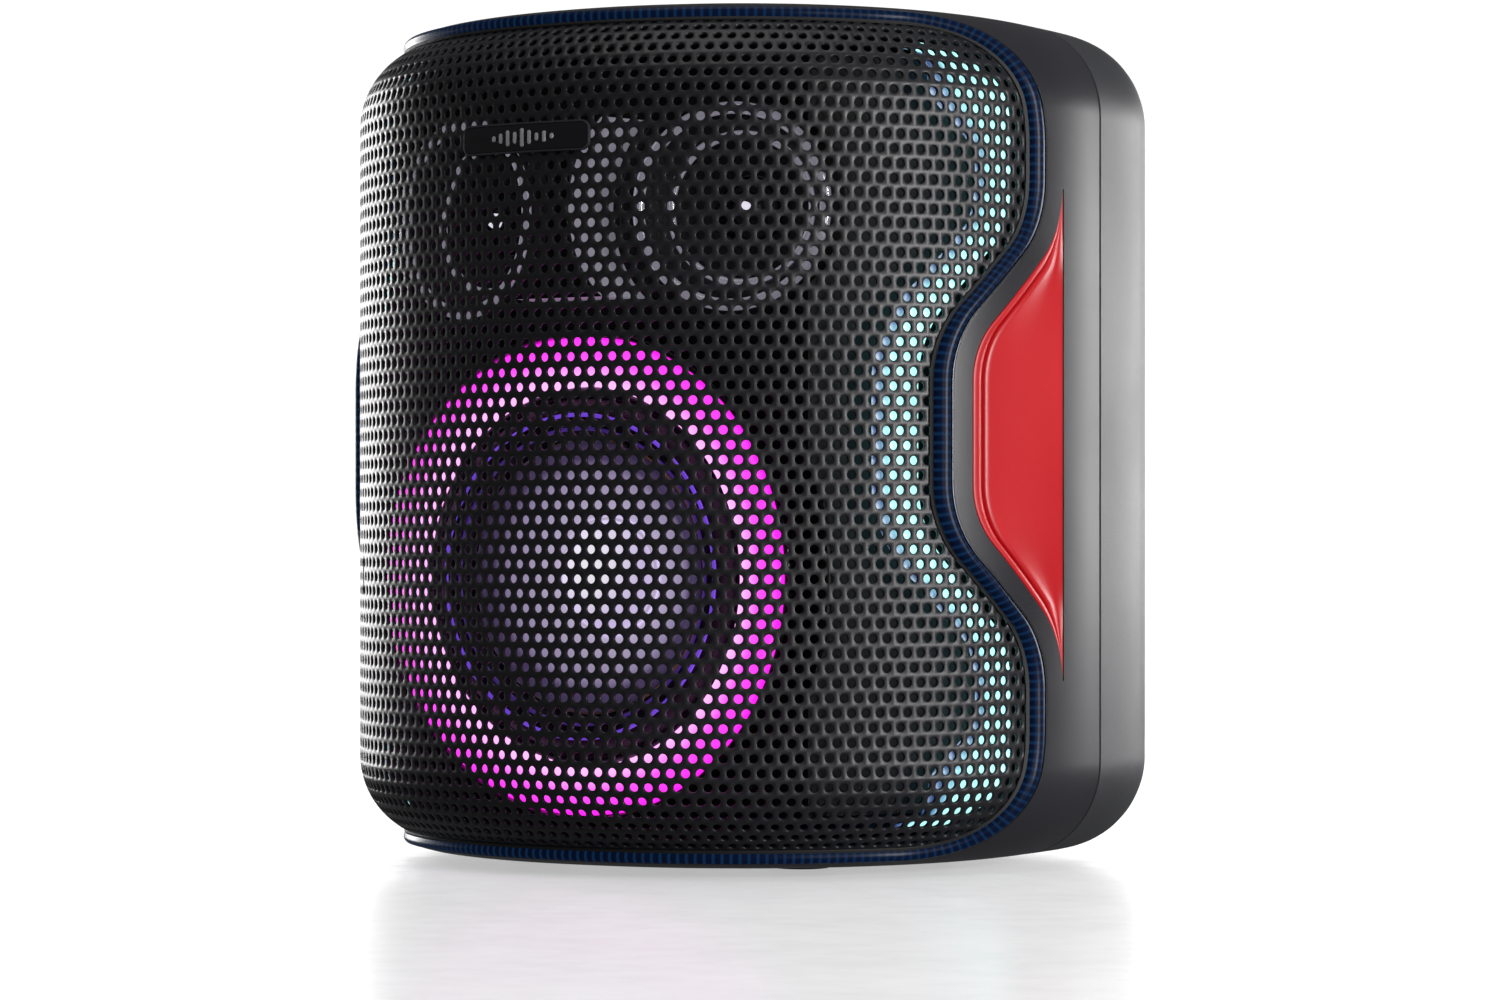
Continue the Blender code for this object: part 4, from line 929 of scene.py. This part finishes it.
def tweeter(label, side):
    origin = (side * TWEETER_U, TWEETER_W, TWEETER_Z)
    axis = (side * math.sin(TWEETER_TOE), -math.cos(TWEETER_TOE), 0.0)
    bowl = [(r, 1.4 - 12.4 * (37.5 - r) / 8.5) for r in np.linspace(37.5, 29.0, 8)]
    bowl += [(r, -11.6 - 9.6 * (28.0 - r) / 14.0) for r in np.linspace(28.0, 14.0, 10)]
    turned("horn_" + label, [(45.9, -8.0), (45.9, 0.4), (45.2, 1.2), (43.5, 1.6), (38.6, 1.9)]
           + bowl + [(13.9, -22.3), (36.0, -22.4)], MATTE_BLACK, origin, axis, 96,
           slot="horn_plastic", replaces=("tweeter_horn_" + label,))
    # The trim rings carry a painted glint from their chrome finish.
    for name, radius, height, thick in (("outer", 37.6, 1.9, 2.3), ("inner", 28.7, -10.8, 1.7)):
        turned("horn_ring_%s_%s" % (name, label), arc((radius, height), thick, 0, 345, 16), CHROME_PAINTED_GLINT,
               origin, axis, 96, slot="dome_metal")
    turned("dome_" + label, [(0.0, -14.4)] + arc((0.0, -24.4), 10.0, 84, 40, 8)
           + [(9.2, -18.4), (12.8, -21.4), (13.3, -22.1), (0.0, -22.1)], DARK_DOME, origin, axis, 64,
           slot="dome_metal", replaces=("tweeter_dome_" + label,))
    # The phase plug glows: a painted highlight.
    turned("phase_plug_" + label, [(0.0, -10.6), (1.4, -10.9), (2.4, -11.8), (3.0, -13.0),
                                   (3.0, -15.0), (0.0, -15.0)], PLUG_PAINTED_HIGHLIGHT, origin, axis, 40,
           slot="dome_metal")


def centre_bar():
    """Upright between the tweeters: pale hollowed sides with a faint painted glow, and a dark front.
    """
    low, high = low_high("centre_bar")
    front, back, middle = low[1] + MID_W, high[1] + MID_W, (low[2] + high[2]) / 2
    reach = (high[2] - low[2]) / 2 - 0.1

    def hollow(z, more):
        return BAR_HOLLOW_U - np.sqrt(TWEETER_RADIUS ** 2 - z ** 2) + more

    def row(z, inner, near, far, grow):
        start = hollow(z, inner + grow * (near - front))
        end = hollow(z, inner + grow * (far - front))
        corners = ((-start, near), (start, near), (end, far), (-end, far))
        return [(u, w, middle + z) for u, w in corners]

    slope = BAR_SPREAD / (back - front)
    rows = [row(z, -0.15, front + 0.7, back, slope) for z in np.linspace(-reach, reach, 41)]
    lofted("upright_bar", rows, PALE_BAR_PAINTED_GLOW, CAPPED,
           slot="centre_bar_plastic", replaces=("centre_bar",))
    rows = [row(z, -0.1, front, front + 1.2, slope) for z in np.linspace(-reach, reach, 41)]
    lofted("upright_front", rows, MATTE_BLACK, CAPPED, slot="centre_bar_plastic")


def baffle_dish():
    """A dark dish round the woofer that catches the ring's light."""
    origin = (0.0, BAFFLE_W, WOOFER_Z)
    turned("ring_dish", [(96.0, 1.0), (100.0, 1.6), (108.0, 3.2), (109.0, 3.4), (109.0, 0.6),
                         (96.0, 0.6)], BAFFLE_BLACK, origin, steps=96, slot="baffle_board")


# ---------------------------------------------------------------- top controls

BUTTONS = ("button_power", "button_light", "button_previous", "button_play", "button_next",
           "button_volume_down", "button_volume_up")


def button_centre(name):
    low, high = low_high(name)
    return (low[0] + high[0]) / 2, (low[1] + high[1]) / 2 + MID_W, high[2]


def filled(name, loops, height, at, look, round_edge=0.0, **options):
    """A flat plate from loops in millimetres, inner loops being holes; its top is at `at`."""
    shape = bpy.data.curves.new(name, "CURVE")
    shape.dimensions, shape.fill_mode = "2D", "BOTH"
    shape.extrude = (height / 2 - round_edge) * 0.001
    shape.bevel_depth, shape.bevel_resolution = round_edge * 0.001, 2
    for loop in loops:
        spline = shape.splines.new("POLY")
        spline.points.add(len(loop) - 1)
        spline.use_cyclic_u = True
        for point, (x, y) in zip(spline.points, loop):
            point.co = (x * 0.001, y * 0.001, 0.0, 1.0)
    draft = bpy.data.objects.new(name, shape)
    bpy.context.collection.objects.link(draft)
    bpy.context.view_layer.update()
    graph = bpy.context.evaluated_depsgraph_get()
    mesh = bpy.data.meshes.new_from_object(draft.evaluated_get(graph))
    bpy.data.objects.remove(draft, do_unlink=True)
    points = np.empty(len(mesh.vertices) * 3, np.float32)
    mesh.vertices.foreach_get("co", points)
    points = points.reshape(-1, 3) * 1000 + np.array([at[0], at[1], at[2] - height / 2])
    faces = [tuple(face.vertices) for face in mesh.polygons]
    bpy.data.meshes.remove(mesh)
    weld = np.round(points * 1000).astype(int)
    _, first, index = np.unique(weld, axis=0, return_index=True, return_inverse=True)
    index = index.reshape(-1)
    faces = [tuple(dict.fromkeys(int(index[i]) for i in face)) for face in faces]
    faces = [face for face in faces if len(face) > 2]
    return piece(name, points[first], faces, look, **options)


def circle(radius, x=0.0, y=0.0, steps=48):
    turn = np.linspace(0, math.tau, steps, endpoint=False)
    return np.stack([x + radius * np.cos(turn), y + radius * np.sin(turn)], 1)


def top_panel():
    low, high = low_high("control_panel")
    size = high - low
    centre_w = (low[1] + high[1]) / 2 + MID_W
    loops = [rounded_rectangle(size[0] - 0.7, size[1] - 0.7, 7.7, 10)]
    loops += [circle(7.05, button_centre(name)[0]) for name in BUTTONS]
    filled("top_panel", loops, 2.2, (0.0, centre_w, high[2]), GLOSS_BLACK, 0.35,
           slot="gloss_black", replaces=("control_panel",))
    for name in BUTTONS:
        button(name)


def bar_shape(x, y, width, height):
    return rounded_rectangle(width, height, 0.3, 3) + np.array([x, y])


def triangle(x, way, size=1.9):
    return np.array([(x + way * size, 0.0), (x - way * size * 0.75, size), (x - way * size * 0.75,
                                                                             -size)])


def arc_band(radius, thick, start, end, steps=20):
    angle = np.radians(np.linspace(start, end, steps))
    outer = np.stack([np.cos(angle), np.sin(angle)], 1) * (radius + thick / 2)
    inner = np.stack([np.cos(angle), np.sin(angle)], 1) * (radius - thick / 2)
    return np.concatenate([outer, inner[::-1]])


MARKS = {
    "button_power": (arc_band(2.4, 0.6, 120, 420), bar_shape(0, 1.9, 0.6, 2.4)),
    "button_light": (circle(1.2), bar_shape(0, 2.6, 0.5, 1.2), bar_shape(0, -2.6, 0.5, 1.2),
                     bar_shape(2.6, 0, 1.2, 0.5), bar_shape(-2.6, 0, 1.2, 0.5)),
    "button_previous": (triangle(0.9, -1), bar_shape(-2.2, 0, 0.7, 3.6)),
    "button_play": (triangle(-0.8, 1, 2.1), bar_shape(2.4, 0, 0.6, 3.6)),
    "button_next": (triangle(-0.9, 1), bar_shape(2.2, 0, 0.7, 3.6)),
    "button_volume_down": (bar_shape(0, 0, 4.2, 0.7),),
    "button_volume_up": (np.array([(-2.1, -0.35), (-0.35, -0.35), (-0.35, -2.1), (0.35, -2.1),
                                   (0.35, -0.35), (2.1, -0.35), (2.1, 0.35), (0.35, 0.35),
                                   (0.35, 2.1), (-0.35, 2.1), (-0.35, 0.35), (-2.1, 0.35)]),),
}


def button(name):
    """Soft cap with a dished top and a plain sign on it."""
    u, w, top = button_centre(name)
    label = name.replace("button_", "key_")
    turned(label, [(0.0, -0.25), (3.0, -0.2), (4.6, -0.05)] + arc((5.4, -0.95), 0.95, 100, 0, 8)
           + [(6.35, -3.0), (8.0, -3.0), (8.0, -4.2), (0.0, -4.2)], KEY_RUBBER, (u, w, top),
           (0, 0, 1), 56, body=name, slot="button_rubber", replaces=(name,))
    for index, loop in enumerate(MARKS[name], 1):
        filled("%s_sign_%d" % (label, index), [loop], 0.3, (u, w, top + 0.02), MARK_WHITE,
               body=name, slot="button_rubber")


# ---------------------------------------------------------------- rear

def carry_grip():
    """A finger pocket with a soft lip that follows the rear of the case."""
    low, high = low_high("carry_grip")
    size, middle = high - low, (low + high) / 2
    deep = size[1]
    at = on_rear(0.0, middle[2])

    def outline(inset):
        radius = max(min(10.0 - inset, size[2] / 2 - inset - 0.1), 1.0)
        return rounded_rectangle(size[0] - 2 * inset, size[2] - 2 * inset, radius, 8)

    section = ((1.6, 3.2), (1.4, 1.0), (1.5, 0.2), (2.0, -0.25), (2.8, -0.1), (3.4, 0.6),
               (3.9, 2.2), (4.4, 6.0), (4.8, 16.0), (5.0, deep - 7.0), (6.2, deep - 3.2),
               (8.6, deep - 1.6), (12.0, deep - 1.4))
    pad("grip_pocket", outline, section, MATTE_BLACK, at, dict(cap_last=True),
        slot="socket_plastic", replaces=("carry_grip",))
    for index in range(5):
        height = middle[2] - 8.0 + index * 4.0
        rib = tablet(78.0, 1.2, 0.55, 4)
        pad("grip_rib_%d" % (index + 1), rib, ((0, deep - 1.2), (0, deep - 1.9), (0.3, deep - 2.3)),
            RUBBER, on_rear(0.0, height), slot="socket_plastic")


def bass_port():
    origin = (0.0, REAR_W, PORT_Z)
    throat = [(22.3, -68.0), (22.0, -40.0), (22.0, -18.0)]
    flare = [(22.0 + 9.4 * (1 - math.cos(a)), -18.0 + 18.2 * math.sin(a))
             for a in np.linspace(0.1, math.pi / 2, 16)]
    turned("port_flare", throat + flare + [(31.9, -0.1), (32.0, -0.8), (32.0, -3.6), (25.2, -10.0),
                                           (24.4, -68.0)],
           MATTE_BLACK, origin, (0, 1, 0), 96, slot="socket_plastic", replaces=("bass_port",))
    turned("port_bright_line", arc((30.2, 0.0), 0.45, 0, 330, 10), BRIGHT_EDGE, origin, (0, 1, 0),
           96, slot="socket_plastic")


def socket_bay():
    low, high = low_high("jack_bay")
    size, middle = high - low, (low + high) / 2
    at = on_rear(0.0, middle[2])

    def outline(inset):
        return rounded_rectangle(size[0] - 2 * inset, size[2] - 2 * inset,
                                 max(4.6 - 2.1 * inset, 0.4), 6)

    section = ((0.0, 3.4), (0.0, 0.7), (0.25, 0.25), (0.7, 0.1), (1.5, 0.3), (1.95, 0.9),
               (2.0, 4.0), (2.0, 16.4))
    pad("bay_rim", outline, section, MATTE_BLACK, at, OPEN, slot="socket_plastic")
    for name in ("mic_jack_1", "mic_jack_2", "line_in_jack"):
        a, b = low_high(name)
        radius = (b[0] - a[0]) / 2
        bore = 1.8 if name == "line_in_jack" else 3.2
        # The collars carry a painted glint from their chrome finish.
        turned(name + "_collar", [(bore + 0.05, -1.0), (bore + 0.05, 0.5), (bore + 0.5, 0.9)]
               + [(radius - 1.2, 0.9), (radius - 0.5, 0.5), (radius - 0.4, -0.4)], CHROME_PAINTED_GLINT,
               ((a[0] + b[0]) / 2, b[1] + MID_W, (a[2] + b[2]) / 2), (0, 1, 0), 40,
               slot="socket_plastic")
    a, b = low_high("ac_inlet")
    for index, shift in enumerate((-3.2, 3.2), 1):
        turned("inlet_pin_%d" % index, [(0.0, 7.4), (0.6, 7.3), (1.15, 6.6), (1.15, 0.0),
                                        (0.0, 0.0)], STEEL,
               ((a[0] + b[0]) / 2 + shift, a[1] + MID_W + 2.0, (a[2] + b[2]) / 2), (0, 1, 0), 24,
               slot="plated_steel")
    a, b = low_high("usb_port")

    def tongue(inset):
        return rounded_rectangle(9.6 - 2 * inset, 1.6 - 2 * inset, 0.3, 3)

    def place(x, y, depth):
        return np.stack([(a[0] + b[0]) / 2 + x, np.full(len(x), b[1] + MID_W - depth),
                         (a[2] + b[2]) / 2 + 0.9 + y], -1)

    pad("usb_tongue", tongue, ((0.0, 8.8), (0.0, 1.2), (0.2, 0.9)), MATTE_BLACK, place,
        slot="socket_plastic")


def port_cover():
    """Rubber flap with rounded corners, raised ribs and a finger tab."""
    low, high = low_high("port_cover")
    size, middle = high - low, (low + high) / 2
    outer_w = high[1] + MID_W

    def place(z0=0.0, x0=0.0):
        return lambda x, y, depth: np.stack([x0 + x, np.full(len(x), outer_w - depth),
                                             middle[2] + z0 + y], -1)

    def outline(inset):
        return rounded_rectangle(size[0] - 2 * inset, size[2] - 2 * inset, max(1.8 - inset, 0.4), 7)

    pad("cover_flap", outline, ((0.4, size[1]), (0.0, size[1] - 0.4), (0.0, 0.35), (0.12, 0.1),
                                (0.4, 0.0), (2.6, 0.0), (2.9, 0.35), (3.5, 0.45), (8.0, 0.45)),
        RUBBER, place(), body="port_cover", slot="soft_rubber", replaces=("port_cover",))
    for index in range(6):
        rib = tablet(92.0, 1.1, 0.5, 4)
        pad("cover_rib_%d" % (index + 1), rib, ((0, 0.5), (0, 0.1), (0.25, -0.12)), RUBBER,
            place(-10.0 + 4.4 * index), body="port_cover", slot="soft_rubber")
    tab = tablet(26.0, 4.4, 2.1, 6)
    pad("cover_tab", tab, ((0, 0.5), (0, -0.5), (0.3, -1.0), (1.0, -1.2)), RUBBER, place(22.0),
        body="port_cover", slot="soft_rubber")


def feet_and_screws():
    for index in range(1, 5):
        name = "foot_%d" % index
        low, high = low_high(name)
        centre = ((low[0] + high[0]) / 2, (low[1] + high[1]) / 2 + MID_W, 0.0)
        radius = (high[0] - low[0]) / 2
        turned("rubber_" + name, [(0.0, 0.5), (5.0, 0.45), (5.6, 0.05)]
               + arc((radius - 1.2, 1.2), 1.2, -90, 0, 7)
               + [(radius - 0.2, high[2]), (radius - 1.2, high[2] + 0.25), (0.0, high[2] + 0.25)],
               RUBBER, centre, (0, 0, 1), 48, slot="foot_rubber", replaces=(name,))
        name = "case_screw_%d" % index
        low, high = low_high(name)
        head = high[1] + MID_W
        screw = turned("pan_" + name, [(0.0, 0.15), (1.6, 0.1), (2.8, -0.25), (3.5, -0.75),
                                       (3.7, -1.2), (3.7, -2.2), (1.7, -2.4), (1.7, -17.5),
                                       (0.0, -17.8)], STEEL,
                       ((low[0] + high[0]) / 2, head - 0.6, (low[2] + high[2]) / 2), (0, 1, 0), 40,
                       slot="plated_steel", replaces=(name,))
        cross = []
        for turn in (0, 1):
            size = (3.6, 0.75) if turn else (0.75, 3.6)
            cross.append(pad("cross_cutter", lambda inset, box=size: rounded_rectangle(
                box[0], box[1], 0.1, 2), ((0, -2.0), (0, 1.1)), STEEL,
                lambda x, y, depth, c=((low[0] + high[0]) / 2, head, (low[2] + high[2]) / 2):
                np.stack([c[0] + x, np.full(len(x), c[1] - 0.6 - depth), c[2] + y], -1), body=None))
        cut(screw, *cross)
        screw.data.shade_smooth()
        screw.data.set_sharp_from_angle(angle=math.radians(35))


# ---------------------------------------------------------------- the rest, stage and camera

def paint_cad():
    """Finishes for the CAD nodes that stay."""
    looks = {"baffle": BAFFLE_BLACK, "woofer_basket": STEEL, "woofer_magnet": STEEL,
             "woofer_spider": CLOTH, "woofer_voice_coil": COPPER, "tweeter_magnet_left": STEEL,
             "tweeter_magnet_right": STEEL, "battery_pack": BATTERY, "power_supply": BOARD,
             "main_board": BOARD, "button_board": BOARD, "amplifier_heat_sink": ALLOY,
             "jack_bay": MATTE_BLACK, "ac_inlet": MATTE_BLACK, "usb_port": STEEL,
             "line_in_jack": MATTE_BLACK, "mic_jack_1": MATTE_BLACK, "mic_jack_2": MATTE_BLACK}
    for name, look in looks.items():
        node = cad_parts[name]
        node.data.materials.clear()
        node.data.materials.append(look)


def area_light(name, place, aim, size, power, colour):
    lamp = bpy.data.lights.new(name, "AREA")
    lamp.shape, lamp.size, lamp.size_y = "RECTANGLE", size[0], size[1]
    lamp.energy, lamp.color = power, colour
    item = bpy.data.objects.new(name, lamp)
    item.location = place
    item.rotation_euler = (Vector(aim) - Vector(place)).to_track_quat("-Z", "Y").to_euler()
    bpy.context.collection.objects.link(item)


def stage_sheet(name, profile, look):
    """A wide sheet behind and under the object, from its section (distance back, height)."""
    turn = math.radians(VIEW_TURN)
    rows = [[(x * math.cos(turn) - y * math.sin(turn), x * math.sin(turn) + y * math.cos(turn), z)
             for y, z in profile] for x in np.linspace(-7, 7, 36)]
    points, faces = bridged(rows, loops=False)
    mesh = bpy.data.meshes.new(name)
    mesh.from_pydata(points.tolist(), [], faces)
    mesh.flip_normals()
    mesh.shade_smooth()
    mesh.materials.append(look)
    item = bpy.data.objects.new(name, mesh)
    bpy.context.collection.objects.link(item)
    return item


def stage():
    """A pale floor, a pale backdrop that curves up behind it, and soft lamps."""
    floor_look = finish("studio_floor", (0.88, 0.88, 0.89), 0.22, scale=60, bump=0.02, shade=0.01,
                        rough_spread=0.04, Emission_Color=(1, 1, 1, 1), Emission_Strength=0.45)
    wall_look = finish("studio_wall", (0.2, 0.2, 0.2), 0.9, scale=60, bump=0.02, shade=0.01,
                       Emission_Color=(1, 1, 1, 1), Emission_Strength=1.0)
    floor = stage_sheet("studio_floor", [(y, 0.0) for y in np.linspace(-3.5, 1.6, 18)], floor_look)
    floor.visible_diffuse = floor.visible_glossy = False
    curve = [(1.6 + 0.9 * math.sin(a), 0.9 - 0.9 * math.cos(a)) for a in np.linspace(0, 1.57, 16)]
    stage_sheet("studio_wall", curve, wall_look)
    upper = stage_sheet("studio_upper_wall", [(2.5, 0.9), (2.5, 3.0)], wall_look)
    upper.visible_glossy = False
    world = bpy.data.worlds.new("studio")
    world.use_nodes = True
    world.node_tree.nodes["Background"].inputs[0].default_value = (0.95, 0.96, 1.0, 1)
    world.node_tree.nodes["Background"].inputs[1].default_value = 0.1
    bpy.context.scene.world = world
    aim = (0.0, 0.0, 0.17)
    lamps = (("strip_right", 60, 1.6, 0.4, (0.3, 0.9), 3.0),
             ("soft_right", 88, 1.5, 0.3, (0.3, 0.6), 14),
             ("soft_back", 157, 1.5, 0.26, (0.6, 0.46), 6.0),
             ("strip_left", -112, 1.5, 0.3, (0.35, 0.8), 9),
             ("soft_top", 20, 0.4, 2.0, (1.5, 1.5), 9))
    for name, azimuth, far, height, size, power in lamps:
        turn = math.radians(azimuth)
        place = (far * math.sin(turn), -far * math.cos(turn), height)
        area_light(name, place, aim, size, power, (1.0, 0.99, 0.99))


def camera():
    lens = bpy.data.cameras.new("camera")
    lens.sensor_width, lens.lens = 36.0, 101.13
    lens.shift_y = 0.0233
    item = bpy.data.objects.new("camera", lens)
    item.location = (0.9186, -1.4408, 0.13025)
    item.rotation_euler = (math.radians(90), 0.0, math.radians(31.932))
    bpy.context.collection.objects.link(item)
    bpy.context.scene.camera = item


def main():
    front_case()
    rear_case()
    grille()
    light_guide()
    side_insert("left", -1.0)
    side_insert("right", 1.0)
    badge()
    side_bar("left", -1.0)
    side_bar("right", 1.0)
    woofer()
    tweeter("left", -1.0)
    tweeter("right", 1.0)
    centre_bar()
    baffle_dish()
    top_panel()
    carry_grip()
    bass_port()
    socket_bay()
    port_cover()
    feet_and_screws()
    paint_cad()
    stage()
    camera()
    bpy.context.scene.view_settings.view_transform = "Standard"


main()
